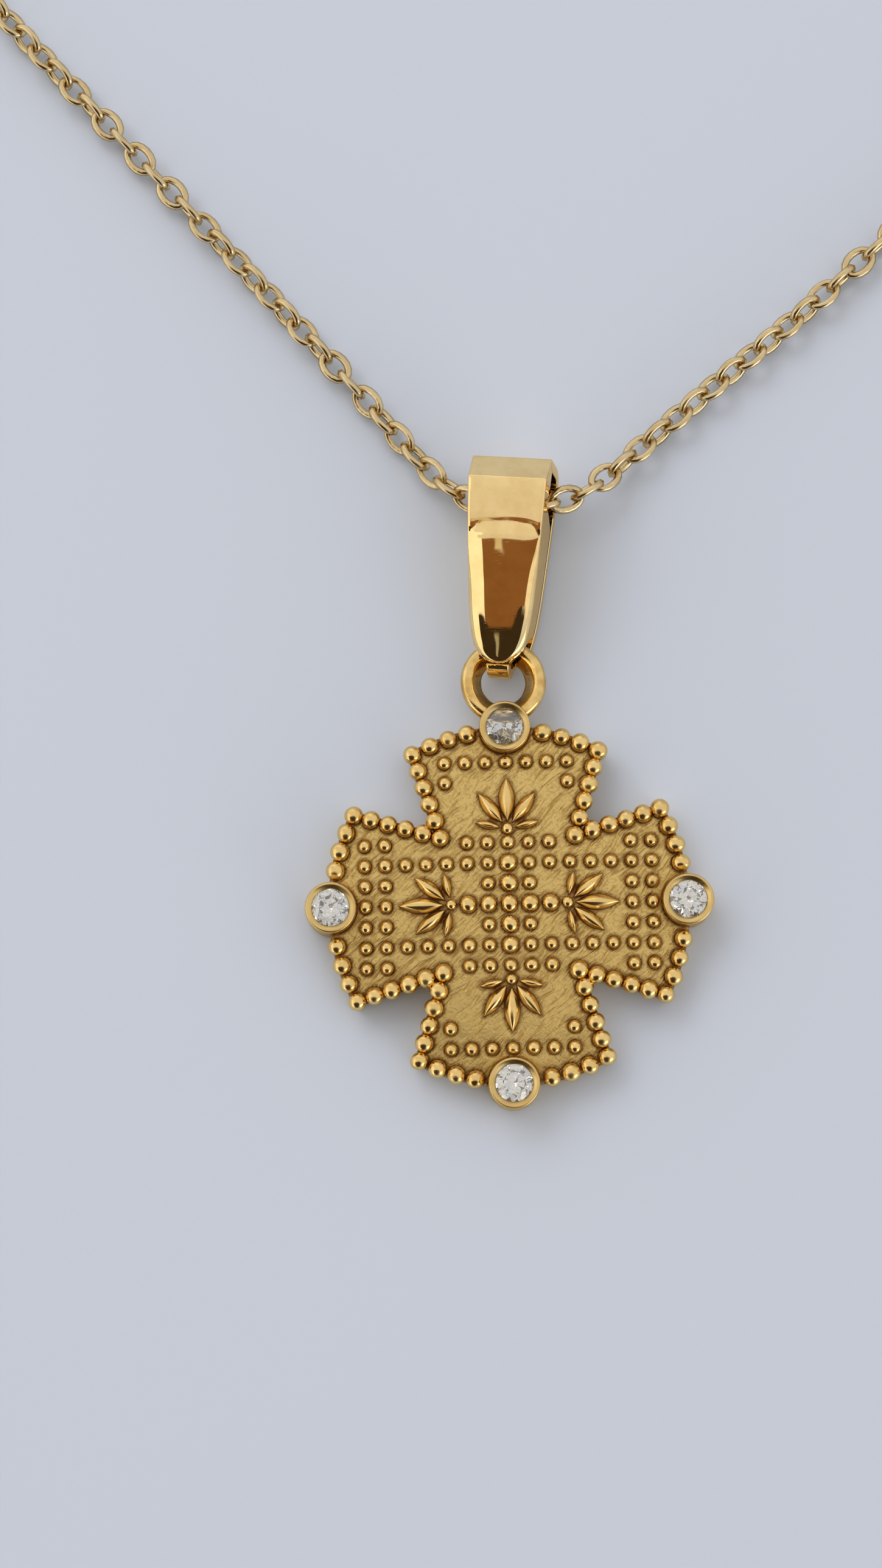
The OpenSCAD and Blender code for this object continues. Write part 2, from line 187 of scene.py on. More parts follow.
def group(name, inputs, outputs):
    """New shader node group: inputs are (name, socket type, default), outputs (name, socket type)."""
    tree = bpy.data.node_groups.new(name, "ShaderNodeTree")
    for label, kind, default in inputs:
        socket = tree.interface.new_socket(label, in_out="INPUT", socket_type=kind)
        if default is not None:
            socket.default_value = default
    for label, kind in outputs:
        tree.interface.new_socket(label, in_out="OUTPUT", socket_type=kind)
    return tree, tree.nodes.new("NodeGroupInput"), tree.nodes.new("NodeGroupOutput")


def use(tree, name, **named):
    return put(tree, "ShaderNodeGroup", (), {"node_tree": bpy.data.node_groups[name]}, **named)


FLOAT, VECTOR = "NodeSocketFloat", "NodeSocketVector"


# Materials


def millimetres():
    """Group that gives the place on the piece in millimetres."""
    tree, _, out = group("Place in millimetres", (), (("Place", VECTOR),))
    place = put(tree, "ShaderNodeTexCoord").outputs["Object"]
    scaled = put(tree, "ShaderNodeMapping", (place,), Scale=(1000, 1000, 1000))
    tree.links.new(scaled.outputs[0], out.inputs["Place"])


# Scratches: direction in degrees, seed; how dense they are along and across their direction, and upwards
SCRATCHES = ((25, 3.1), (-50, 7.7), (80, 12.4))
SCRATCH_DENSITY = (0.7, 16, 5)
SCRATCH_DEPTH, SCRATCH_DULL = 0.06, 0.5


def worn_polish():
    """Group of the fine scratches, dull patches and faint waves of polished metal."""
    tree, inp, out = group("Worn polish", (("Amount", FLOAT, 0.5), ("Waves", FLOAT, 0.5)),
                           (("Height", FLOAT), ("Dull", FLOAT)))
    place = use(tree, "Place in millimetres").outputs[0]
    lines = []
    for turn, seed in SCRATCHES:
        view = put(tree, "ShaderNodeMapping", (place,), Location=(seed, seed, 0),
                   Rotation=(0.2, 0.1, math.radians(turn)), Scale=SCRATCH_DENSITY).outputs[0]
        lines.append(fade(tree, noise_value(tree, view, 1.0, 3.0, 0.6), 0.6, 0.72))
    scratches = calc(tree, "MAXIMUM", *lines)
    patches = fade(tree, noise_value(tree, place, 0.9, 3.0), 0.42, 0.68)
    waves = calc(tree, "MULTIPLY", noise_value(tree, place, 0.8, 1.0), inp.outputs["Waves"])
    cuts = calc(tree, "MULTIPLY", scratches, inp.outputs["Amount"], SCRATCH_DEPTH)
    tree.links.new(calc(tree, "SUBTRACT", waves, cuts), out.inputs["Height"])
    dull = calc(tree, "ADD", calc(tree, "MULTIPLY", scratches, SCRATCH_DULL), patches)
    tree.links.new(calc(tree, "MULTIPLY", dull, inp.outputs["Amount"]), out.inputs["Dull"])


# Heights under the ground between which the painted shade at the foot starts, and how far its edge waves
FOOT_START = (-0.12, -0.03)
FOOT_WAVE = 0.04


def low_on_cross():
    """Group that gives 1 at the foot of what stands on the cross's domed ground, and 0 above and below: where
    shade is painted and the metal is rougher.
    """
    tree, inp, out = group("Low on the cross", (("Reach", FLOAT, 0.1),), (("Foot", FLOAT),))
    place = use(tree, "Place in millimetres").outputs[0]
    parts = put(tree, "ShaderNodeSeparateXYZ", (place,)).outputs
    flat = calc(tree, "ADD", *(calc(tree, "MULTIPLY", part, part) for part in (parts[0], parts[1])))
    ground_z = calc(tree, "SUBTRACT", PLATE_H, calc(tree, "DIVIDE", flat, 2 * DOME_R))
    height = calc(tree, "SUBTRACT", parts[2], ground_z)
    wavy = calc(tree, "ADD", height, calc(tree, "MULTIPLY", noise_value(tree, place, 3.0), FOOT_WAVE))
    under_reach = fade(tree, wavy, 0.0, inp.outputs["Reach"], 1.0, 0.0)
    above_start = fade(tree, wavy, *FOOT_START)
    # The collars' outer sides stand beyond the ground's edge
    inward = fade(tree, calc(tree, "SQRT", flat), BEZEL_REACH - 0.1, BEZEL_REACH + 0.5, 1.0, 0.0)
    tree.links.new(calc(tree, "MULTIPLY", under_reach, above_start, inward), out.inputs["Foot"])


# Strokes of the tool: direction in degrees, length, width, shift of the pattern
STROKES = ((52, 1.0, 0.12, 0.0), (38, 0.8, 0.09, 4.2))
PIT_DEPTH, PIT_TONE = 0.35, 0.3


def cast_skin():
    """Group of a cast and tooled ground: slanting strokes and pits."""
    tree, inp, out = group("Tooled skin", (("Strokes", FLOAT, 1.0),), (("Height", FLOAT), ("Tone", FLOAT)))
    place = use(tree, "Place in millimetres").outputs[0]
    bend = put(tree, "ShaderNodeTexNoise", (), Vector=place, Scale=0.5, Detail=1.0).outputs["Color"]
    bent = vector_calc(tree, "MULTIPLY_ADD", bend, (0.5, 0.5, 0.5), place)
    lines = []
    for turn, long, wide, shift in STROKES:
        view = put(tree, "ShaderNodeMapping", (bent,), {"vector_type": "TEXTURE"}, Location=(shift, shift, 0),
                   Rotation=(0, 0, math.radians(turn)), Scale=(long, wide, 1.0)).outputs[0]
        lines.append(noise_value(tree, view, 1.0, 2.0, 0.55))
    strokes = fade(tree, calc(tree, "MINIMUM", *lines), 0.22, 0.5)
    pits = fade(tree, noise_value(tree, place, 9.0, 3.0, 0.6), 0.33, 0.5)
    height = calc(tree, "ADD", calc(tree, "MULTIPLY", strokes, inp.outputs["Strokes"]),
                  calc(tree, "MULTIPLY", pits, PIT_DEPTH))
    tree.links.new(height, out.inputs["Height"])
    pitted = calc(tree, "ADD", calc(tree, "MULTIPLY", pits, PIT_TONE), 1 - PIT_TONE)
    tree.links.new(calc(tree, "MULTIPLY", strokes, pitted), out.inputs["Tone"])


def new_material(name):
    """New material with one Principled shader: its node tree and the shader."""
    material = bpy.data.materials.new(name)
    material.use_nodes = True
    tree = material.node_tree
    tree.nodes.clear()
    shader = put(tree, "ShaderNodeBsdfPrincipled")
    output = put(tree, "ShaderNodeOutputMaterial")
    tree.links.new(shader.outputs[0], output.inputs["Surface"])
    return tree, shader


def bump(tree, shader, height, depth_mm):
    node = put(tree, "ShaderNodeBump", (), Strength=1.0, Distance=depth_mm * MM, Height=height)
    tree.links.new(node.outputs[0], shader.inputs["Normal"])


# Gold stays yellow where it is seen at a slant
EDGE_TINT = (0.95, 0.8, 0.55)
# The painted shade on the loop's inner side fades out between these distances from its centre
INNER_SIDE = (0.95, 1.14)
# Shares of the painted shade on the loop's inner side and at the feet on the cross
INNER_SHADE_SHARE, FOOT_SHADE_SHARE = 0.6, 0.85
WORN_ROUGHER, FOOT_ROUGHER = 0.22, 0.25
# Powers of the mottled tone, for red, green and blue
MOTTLE_POWERS = (0.5, 0.7, 1.1)
# Painted shade: the bezels' collars take the beads' gold darkened by this part
COLLAR_SHADE = 0.86


def polished_metal(name, colour, hollow, wear, roughness, waves, foot=0.0, depth=0.012, mottle=0.8,
                   ring=None):
    """Polished metal with fine scratches. foot is the reach of the band of painted shade at its foot on the
    cross, depth the height of its waves, mottle the tone of its darker patches, and ring the centre of a ring
    with painted shade on its inner side."""
    tree, shader = new_material(name)
    shader.inputs["Metallic"].default_value = 1.0
    shader.inputs["Specular Tint"].default_value = (*EDGE_TINT, 1.0)
    polish = use(tree, "Worn polish", Amount=wear, Waves=waves)
    place = use(tree, "Place in millimetres").outputs[0]
    patches = fade(tree, noise_value(tree, place, 1.3, 3.0, 0.6), 0.35, 0.7)
    shade = blend(tree, patches, colour, [c * mottle ** k for c, k in zip(colour, MOTTLE_POWERS)])
    # Painted shade on the inner side of the ring
    if ring:
        aside = put(tree, "ShaderNodeMapping", (place,), Location=(-ring[0], -ring[1], 0),
                    Scale=(1, 1, 0)).outputs[0]
        inner = fade(tree, vector_calc(tree, "LENGTH", aside), *INNER_SIDE, 1.0, 0.0)
        shade = blend(tree, calc(tree, "MULTIPLY", inner, INNER_SHADE_SHARE), shade, hollow)
    rough = fade(tree, polish.outputs["Dull"], 0.0, 1.0, roughness, roughness + WORN_ROUGHER)
    # Painted shade at the foot, where the surface is also rougher
    if foot:
        low = use(tree, "Low on the cross", Reach=foot).outputs[0]
        shade = blend(tree, calc(tree, "MULTIPLY", low, FOOT_SHADE_SHARE), shade, hollow)
        rough = calc(tree, "ADD", rough, calc(tree, "MULTIPLY", low, FOOT_ROUGHER))
    tree.links.new(shade, shader.inputs["Base Color"])
    tree.links.new(rough, shader.inputs["Roughness"])
    bump(tree, shader, polish.outputs["Height"], depth)


# Tone of the deepest tool marks, and how strongly the painted shade darkens the hollows
MARK_TONE = (0.74, 0.64, 0.54)
PAINTED_SHADE_SHARE = 0.9
GROUND_ROUGHNESS = (0.6, 0.42)


def ground_metal(colour, hollow, depth):
    """Satin ground of the cross, darker in its tool marks, with painted shade in the hollows round what
    stands on it.
    """
    tree, shader = new_material("Ground gold")
    shader.inputs["Metallic"].default_value = 1.0
    skin = use(tree, "Tooled skin", Strokes=1.0)
    # Share of the painted shade at each point of the ground
    hollows = put(tree, "ShaderNodeAttribute", (), {"attribute_name": "hollow"}).outputs["Fac"]
    marked = [c * k for c, k in zip(colour, MARK_TONE)]
    shade = blend(tree, skin.outputs["Tone"], marked, colour)
    shade = blend(tree, calc(tree, "MULTIPLY", hollows, PAINTED_SHADE_SHARE), shade, hollow)
    tree.links.new(shade, shader.inputs["Base Color"])
    rough = fade(tree, skin.outputs["Tone"], 0.0, 1.0, *GROUND_ROUGHNESS)
    tree.links.new(rough, shader.inputs["Roughness"])
    bump(tree, shader, skin.outputs["Height"], depth)


# Colours of the stone's facets in painted shade and in painted glints
STONE_PAINTED_SHADE, STONE_PAINTED_GLINT = (0.78, 0.83, 0.95), (0.96, 0.98, 1.0)
FACETS_PER_MM = 3.4
FACET_LEAN = 0.09


def clear_stone():
    """Clear stone with small facets that each lean their own way and catch their own share of light, with
    painted glints and painted shade in their colour.
    """
    tree, shader = new_material("Clear stone")
    for socket, value in (("Transmission Weight", 0.91), ("IOR", 2.16), ("Metallic", 0.0)):
        shader.inputs[socket].default_value = value
    place = use(tree, "Place in millimetres").outputs[0]
    facets = put(tree, "ShaderNodeTexVoronoi", (), Vector=place, Scale=FACETS_PER_MM).outputs["Color"]
    leaning = vector_calc(tree, "SUBTRACT", facets, (0.5, 0.5, 0.5))
    bump(tree, shader, vector_calc(tree, "DOT_PRODUCT", leaning, place), FACET_LEAN)
    # Painted glints and painted shade: each facet's colour is lighter or darker
    painted_glint = fade(tree, put(tree, "ShaderNodeSeparateXYZ", (facets,)).outputs[0], 0.1, 0.45)
    tree.links.new(blend(tree, painted_glint, STONE_PAINTED_SHADE, STONE_PAINTED_GLINT), shader.inputs["Base Color"])
    rough = fade(tree, noise_value(tree, place, 6.0), 0.6, 0.8, 0.0, 0.02)
    tree.links.new(rough, shader.inputs["Roughness"])


def pale_floor(colour):
    """Plain floor with a faint broad mottle."""
    tree, shader = new_material("Pale floor")
    place = use(tree, "Place in millimetres").outputs[0]
    mottled = blend(tree, noise_value(tree, place, 0.02, 3.0), [c * 0.97 for c in colour], colour)
    tree.links.new(mottled, shader.inputs["Base Color"])
    shader.inputs["Roughness"].default_value = 0.6


class NECKLACE_OT_materials(bpy.types.Operator):
    """Mix the golds, the clear stone and the floor's finish"""
    bl_idname = "necklace.materials"
    bl_label = "Materials"

    def execute(self, context):
        finish = context.scene.necklace_finish
        cast, wear, hollow = tuple(finish.cast_gold), finish.wear, tuple(finish.hollow)
        # The bezels' gold is the beads' gold darkened as painted shade
        shaded_collar = tuple(c * COLLAR_SHADE for c in cast)
        for effect in (millimetres, worn_polish, low_on_cross, cast_skin):
            effect()
        polished_metal("Bead gold", cast, hollow, wear, roughness=0.19, waves=0.6, foot=0.13)
        polished_metal("Bezel gold", shaded_collar, hollow, wear, roughness=0.27, waves=1.0, foot=0.1, depth=0.03)
        polished_metal("Loop gold", cast, hollow, wear, roughness=0.12, waves=1.2, depth=0.03, mottle=0.5,
                       ring=LOOP_AT)
        polished_metal("Bail gold", tuple(finish.polished_gold), hollow, wear * 0.3, roughness=0.02,
                       waves=0.9, depth=0.004, mottle=0.84)
        polished_metal("Chain gold", tuple(finish.chain_gold), hollow, wear, roughness=0.2, waves=0.3)
        ground_metal(tuple(finish.ground_gold), hollow, context.scene.necklace_cross.mark_depth / MM)
        clear_stone()
        pale_floor(tuple(context.scene.necklace_stage.floor))
        return {"FINISHED"}


# Mesh building


def new_piece(name, points, faces, material):
    """Mesh piece from points in millimetres."""
    mesh = bpy.data.meshes.new(name)
    mesh.from_pydata([tuple(c * MM for c in p) for p in points], [], faces)
    piece = bpy.data.objects.new(name, mesh)
    bpy.context.scene.collection.objects.link(piece)
    mesh.materials.append(bpy.data.materials[material])
    return piece


def soften(piece, degrees):
    """Shades a piece smooth, but for the edges where its faces meet at more than an angle."""
    piece.data.shade_smooth()
    piece.data.set_sharp_from_angle(angle=math.radians(degrees))
    return piece


def declare(piece, slot, *nodes):
    """Hangs the piece on the root body and hides the parts of the frame that it replaces. The slot is not
    used.
    """
    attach(piece, "root")
    if nodes:
        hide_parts(*nodes)


def joined(name, parts, material):
    """One piece from several lists of (points, faces)."""
    points, faces = [], []
    for some, theirs in parts:
        first = len(points)
        points += some
        faces += [tuple(first + i for i in f) for f in theirs]
    return new_piece(name, points, faces, material)


def circle(x, y, radius, count, turn=0.0):
    """Points round a place; turn shifts them by a part of their spacing."""
    return [(x + radius * math.cos(a), y + radius * math.sin(a))
            for a in (2 * math.pi * (i + turn) / count for i in range(count))]


def ring_faces(rings, sides, closed=False):
    """Faces of a tube made of rings of points, in order."""
    faces = []
    for i in range(rings if closed else rings - 1):
        j = (i + 1) % rings
        for k in range(sides):
            n = (k + 1) % sides
            faces.append((i * sides + k, i * sides + n, j * sides + n, j * sides + k))
    return faces


def lathe(profile, centre, steps=64):
    """Closed turned shape from (radius, height) pairs that start and end on the axis."""
    points, faces = [(*centre, profile[0][1])], []
    middle = profile[1:-1]
    for r, z in middle:
        points += [(x, y, z) for x, y in circle(*centre, r, steps)]
    points.append((*centre, profile[-1][1]))
    last = 1 + (len(middle) - 1) * steps
    for i in range(steps):
        n = (i + 1) % steps
        faces.append((0, 1 + n, 1 + i))
        faces.append((last + i, last + n, len(points) - 1))
        for k in range(len(middle) - 1):
            a, b = 1 + k * steps, 1 + (k + 1) * steps
            faces.append((a + i, a + n, b + n, b + i))
    return points, faces


def turned_ring(centre, section, steps=96, uneven=0.0):
    """Closed ring turned from a section of (radius, height) pairs in order, round a vertical line."""
    points = []
    for c, s in circle(0, 0, 1, steps):
        for r, z in section:
            wave = uneven * noise.noise((2.5 * c + r, 2.5 * s, 2 * z))
            points.append((centre[0] + (r + wave) * c, centre[1] + (r + wave) * s, centre[2] + z + wave))
    return points, ring_faces(steps, len(section), closed=True)


def torus(centre, radius, wire, place=Matrix(), steps=64, sides=20):
    """Closed ring of round wire, turned by place about its centre."""
    points = []
    for c, s in circle(0, 0, 1, steps):
        for out, up in circle(radius, 0, wire, sides):
            points.append(tuple(place @ Vector((out * c, out * s, up)) + Vector(centre)))
    return points, [(a, d, c, b) for a, b, c, d in ring_faces(steps, sides, closed=True)]


# Trees of geometry nodes


def node_tree(name, inputs):
    tree = bpy.data.node_groups.new(name, "GeometryNodeTree")
    tree.interface.new_socket("Geometry", in_out="INPUT", socket_type="NodeSocketGeometry")
    for label, kind in inputs:
        tree.interface.new_socket(label, in_out="INPUT", socket_type="NodeSocket" + kind)
    tree.interface.new_socket("Geometry", in_out="OUTPUT", socket_type="NodeSocketGeometry")
    return tree, tree.nodes.new("NodeGroupInput").outputs, tree.nodes.new("NodeGroupOutput").inputs[0]


def close_tree(tree, geometry, material, output):
    """Ends a tree: real mesh, smooth, with its material."""
    real = put(tree, "GeometryNodeRealizeInstances", (geometry,)).outputs[0]
    smooth = put(tree, "GeometryNodeSetShadeSmooth", (real,)).outputs[0]
    made = put(tree, "GeometryNodeSetMaterial", (), Geometry=smooth, Material=material).outputs[0]
    tree.links.new(made, output)


def grow(carrier, tree, values):
    """Runs a geometry node tree on a carrier and returns a plain mesh piece of the carrier's name."""
    modifier = carrier.modifiers.new(tree.name, "NODES")
    modifier.node_group = tree
    for item in tree.interface.items_tree:
        if item.item_type == "SOCKET" and item.in_out == "INPUT" and item.name in values:
            modifier[item.identifier] = values[item.name]
    bpy.context.view_layer.update()
    shown = carrier.evaluated_get(bpy.context.evaluated_depsgraph_get())
    mesh = bpy.data.meshes.new_from_object(shown)
    name = carrier.name
    bpy.data.objects.remove(carrier)
    piece = bpy.data.objects.new(name, mesh)
    mesh.name = name
    bpy.context.scene.collection.objects.link(piece)
    return piece


def random_value(tree, kind, args, seed):
    """Outputs of a random value for each item; args are its limits, in the order of the node's inputs."""
    return put(tree, "FunctionNodeRandomValue", args, {"data_type": kind}, Seed=seed).outputs


# A bead's largest turns about x, y and z, in radians
BEAD_TURNS = (0.5, 0.5, 6.28)


def bead_tree():
    """Beads on the points of a mesh, each of its own radius and slightly out of round."""
    tree, inp, out = node_tree("Beads", (
        ("Segments", "Int"), ("Rings", "Int"), ("Low", "Vector"), ("High", "Vector"), ("Seed", "Int"),
        ("Material", "Material")))
    ball = put(tree, "GeometryNodeMeshUVSphere", (), Segments=inp["Segments"], Rings=inp["Rings"], Radius=1.0)
    radius = put(tree, "GeometryNodeInputNamedAttribute", (), {"data_type": "FLOAT"}, Name="radius")
    shape = random_value(tree, "FLOAT_VECTOR", (inp["Low"], inp["High"]), inp["Seed"])[0]
    scale = put(tree, "ShaderNodeVectorMath", (shape,), {"operation": "SCALE"}, Scale=radius.outputs[0])
    turn = random_value(tree, "FLOAT_VECTOR", (None, BEAD_TURNS), inp["Seed"])[0]
    placed = put(tree, "GeometryNodeInstanceOnPoints", (), Points=inp["Geometry"],
                 Instance=ball.outputs["Mesh"], Rotation=turn, Scale=scale.outputs[0])
    close_tree(tree, placed.outputs[0], inp["Material"], out)
    return tree


# The chain's roll: how many links from an end it grows over, how much of its wave one link takes,
# how far apart the waves of two seeds lie, and how far each link strays, in radians
ROLL_GROWS = (1.0, 12.0)
ROLL_WAVE, SEED_STEP = 0.071, 3.7
LINK_STRAYS = 0.1


def link_tree():
    """Links along a curve, each turned a quarter against the last and all rolled slowly about the curve."""
    tree, inp, out = node_tree("Cable chain", (
        ("Links", "Int"), ("Half Length", "Float"), ("Half Width", "Float"), ("Wire Radius", "Float"),
        ("Segments", "Int"), ("Sides", "Int"), ("Roll", "Float"), ("Seed", "Int"), ("Material", "Material")))
    oval = put(tree, "GeometryNodeCurvePrimitiveCircle", (), Resolution=inp["Segments"], Radius=1.0)
    size = put(tree, "ShaderNodeCombineXYZ", (inp["Half Length"], inp["Half Width"], 1.0)).outputs[0]
    place = put(tree, "GeometryNodeInputPosition").outputs[0]
    oval = put(tree, "GeometryNodeSetPosition", (), Geometry=oval.outputs[0],
               Position=vector_calc(tree, "MULTIPLY", place, size)).outputs[0]
    wire = put(tree, "GeometryNodeCurvePrimitiveCircle", (), Resolution=inp["Sides"],
               Radius=inp["Wire Radius"])
    link = put(tree, "GeometryNodeCurveToMesh", (), Curve=oval, Profile_Curve=wire.outputs[0]).outputs[0]
    line = put(tree, "GeometryNodeSetCurveNormal", (), {"mode": "Z_UP"}, Curve=inp["Geometry"]).outputs[0]
    along = put(tree, "GeometryNodeCurveToPoints", (), {"mode": "COUNT"}, Curve=line, Count=inp["Links"])
    turn = put(tree, "FunctionNodeAxesToRotation", (), {"primary_axis": "X", "secondary_axis": "Y"},
               Primary_Axis=along.outputs["Tangent"], Secondary_Axis=along.outputs["Normal"]).outputs[0]
    index = put(tree, "GeometryNodeInputIndex").outputs[0]
    # The end links, both of an even number, stand on edge in the clasp's eye and in its jump ring
    odd = calc(tree, "MODULO", calc(tree, "ADD", index, 1.0), 2.0)
    quarter = calc(tree, "MULTIPLY", odd, math.pi / 2)
    last = calc(tree, "SUBTRACT", inp["Links"], 1.0)
    from_end = calc(tree, "MINIMUM", index, calc(tree, "SUBTRACT", last, index))
    eased = fade(tree, from_end, *ROLL_GROWS)
    wave = calc(tree, "ADD", calc(tree, "MULTIPLY", index, ROLL_WAVE),
                calc(tree, "MULTIPLY", inp["Seed"], SEED_STEP))
    slow = put(tree, "ShaderNodeTexNoise", (), {"noise_dimensions": "1D"}, W=wave, Scale=1.0, Detail=1.0)
    swing = fade(tree, slow.outputs["Fac"], 0.3, 0.7, -1.0, 1.0)
    small = random_value(tree, "FLOAT", (None, None, -LINK_STRAYS, LINK_STRAYS), inp["Seed"])[1]
    rolled = calc(tree, "ADD", calc(tree, "MULTIPLY", swing, inp["Roll"]), small)
    angle = calc(tree, "ADD", quarter, calc(tree, "MULTIPLY", rolled, eased))
    spin = put(tree, "FunctionNodeAxisAngleToRotation", (), Axis=(1, 0, 0), Angle=angle).outputs[0]
    turn = put(tree, "FunctionNodeRotateRotation", (), {"rotation_space": "LOCAL"}, Rotation=turn,
               Rotate_By=spin).outputs[0]
    placed = put(tree, "GeometryNodeInstanceOnPoints", (), Points=along.outputs["Points"], Instance=link,
                 Rotation=turn)
    close_tree(tree, placed.outputs[0], inp["Material"], out)
    return tree


# The cross, as the CAD part's source lays it out (millimetres)

BEZEL_REACH = 6.58
INNER_CORNER = 2.49
ARM_HALF_WIDTH = 3.45
ARM_CORNER_REACH = 5.67
END_ARC_R = 7.4
PLATE_MARGIN = 0.17
PLATE_H = 1.5
DOME_R = 40.0
GRID = 0.757
BEZEL_R = 0.95
BALL_SEGMENTS, BALL_RINGS = 20, 12
# Border beads along half of an arm: on its side, on half of its end, and their distance from the bezel
SIDE_BEADS, END_BEADS = 5, 3
BEZEL_CLEAR = 0.455
BEAD_LIFT = 0.03
GRAIN_LIFT = 0.04
LOOP_AT = (0, 8.3, 1.12)
# The loop's section, from its outer side over its crest and down its steep inner wall: radius, height
LOOP_SECTION = (
    (1.59, 0.0), (1.585, 0.1), (1.56, 0.19), (1.52, 0.26), (1.46, 0.31), (1.39, 0.342), (1.32, 0.35),
    (1.25, 0.335), (1.19, 0.3), (1.14, 0.25), (1.1, 0.18), (1.05, 0.09), (0.98, -0.03), (0.89, -0.17),
    (0.82, -0.27), (0.83, -0.33), (0.92, -0.35), (1.06, -0.35), (1.22, -0.35), (1.36, -0.34),
    (1.47, -0.29), (1.55, -0.2), (1.58, -0.1))
# Row, first column, last column, in steps of the grid, mirrored both ways
GRAIN_ROWS = ((7, 0, 3), (6, 3, 3), (3, 0, 2), (3, 6, 7), (2, 1, 7), (1, 1, 1), (1, 6, 7), (0, 6, 7))
# Angle from the arm's direction, part of the middle leaf's length
PALMETTE_LEAVES = ((0, 1), (38, 0.86), (-38, 0.86), (78, 0.56), (-78, 0.56))
# Place and direction of each palmette, and the bead at its root
PALMETTES = ((0, 2.78, 0), (0, -2.78, 180), (2.14, 0, -90), (-2.14, 0, 90))
LEAF_START = 0.26
ROOT_R = 0.22
END_MID = ARM_CORNER_REACH - math.sqrt(END_ARC_R ** 2 - ARM_HALF_WIDTH ** 2)


def ground(x, y):
    """Height of the domed ground."""
    return PLATE_H - DOME_R + math.sqrt(DOME_R * DOME_R - x * x - y * y)


def turned(p, degrees):
    c, s = math.cos(math.radians(degrees)), math.sin(math.radians(degrees))
    return (p[0] * c - p[1] * s, p[0] * s + p[1] * c)


def between(a, b, t):
    return tuple(u + (v - u) * t for u, v in zip(a, b))


def on_arc(radius, angle):
    """Point on the rounded end of the upper arm."""
    return (radius * math.sin(angle), END_MID + radius * math.cos(angle))


def plate_outline(step):
    """Outline of the plate, counter-clockwise, with points about step apart."""
    a, b = Vector((INNER_CORNER, INNER_CORNER)), Vector((ARM_HALF_WIDTH, ARM_CORNER_REACH))
    along = (b - a).normalized()
    edge = a + PLATE_MARGIN * Vector((along.y, -along.x)) - Vector((0, END_MID))
    radius = END_ARC_R + PLATE_MARGIN
    reach = -along.dot(edge) + math.sqrt(along.dot(edge) ** 2 - edge.dot(edge) + radius * radius)
    corner = edge + reach * along + Vector((0, END_MID))
    angle = math.asin(corner.x / radius)
    inner = INNER_CORNER + PLATE_MARGIN / (along.y - along.x)
    half = 24
    end = [on_arc(radius, angle * (1 - i / half)) for i in range(1, 2 * half + 1)]
    rough = []
    for q in range(4):
        rough += [turned(p, 90 * q) for p in [(inner, inner), tuple(corner)] + end]
    outline = []
    for p, n in zip(rough, rough[1:] + rough[:1]):
        parts = max(1, round(math.dist(p, n) / step))
        outline += [between(p, n, i / parts) for i in range(parts)]
    return outline


def border_beads():
    """Places of the border's beads: the four inner corners, then the sides and the end of each arm."""
    inner, outer = (INNER_CORNER, INNER_CORNER), (ARM_HALF_WIDTH, ARM_CORNER_REACH)
    corner = math.asin(ARM_HALF_WIDTH / END_ARC_R)
    clear = math.asin((BEZEL_R + BEZEL_CLEAR) / END_ARC_R)
    side = [between(inner, outer, i / SIDE_BEADS) for i in range(1, SIDE_BEADS + 1)]
    end = [on_arc(END_ARC_R, corner - (corner - clear) / END_BEADS * i) for i in range(1, END_BEADS + 1)]
    arm = [(s * x, y) for half in (side, end) for s in (-1, 1) for x, y in half]
    beads = [(sx * INNER_CORNER, sy * INNER_CORNER) for sx in (-1, 1) for sy in (-1, 1)]
    return beads + [turned(p, 90 * q) for q in range(4) for p in arm]


def grains():
    """Places of the small grains, in rows on the grid."""
    found = []
    for row, first, last in GRAIN_ROWS:
        for column in range(first, last + 1):
            for sx in ((1,) if column == 0 else (-1, 1)):
                for sy in ((1,) if row == 0 else (-1, 1)):
                    found.append((sx * column * GRID, sy * row * GRID))
    return found


def bead_kinds(sizes):
    """Name, places, radius, lift above the ground, inset of the foot and seed of each kind of bead."""
    centre = [(i * GRID, 0) for i in range(-2, 3)] + [(0, i * GRID) for i in (-2, -1, 1, 2)]
    return (("border_beads", border_beads(), sizes.bead_radius / MM, BEAD_LIFT, 0.01, 3),
            ("grains", grains(), sizes.grain_radius / MM, GRAIN_LIFT, 0.004, 5),
            ("centre_beads", centre, sizes.centre_radius / MM, BEAD_LIFT, 0.008, 8),
            ("palmette_roots", [(x, y) for x, y, _ in PALMETTES], ROOT_R, GRAIN_LIFT, 0.0, 9))


def bezel_places():
    return [turned((0, BEZEL_REACH), 90 * q) for q in range(4)]


# A leaf's half width and that of its foot, as parts of its half length; powers of its arched section
# and of its ridge's fall to the tips; depth and half width of the groove along its ridge; and how far
# it is sunk in the ground
LEAF_WIDTH, LEAF_FOOT = 0.42, 0.36
LEAF_ARCH = (1.5, 0.9)
RIDGE_FALL = 0.6
LEAF_GROOVE = (0.035, 0.16)
LEAF_SUNK = 0.1


def leaf_bulge(t):
    return 1 - (2 * t - 1) ** 2


def leaves(sizes):
    """Place, direction and half length of every leaf of the four palmettes."""
    half = sizes.leaf_length / MM
    for x, y, turn in PALMETTES:
        for angle, part in PALMETTE_LEAVES:
            start = turned((0, LEAF_START), turn - angle)
            yield (x + start[0], y + start[1]), turned((0, 1), turn - angle), half * part


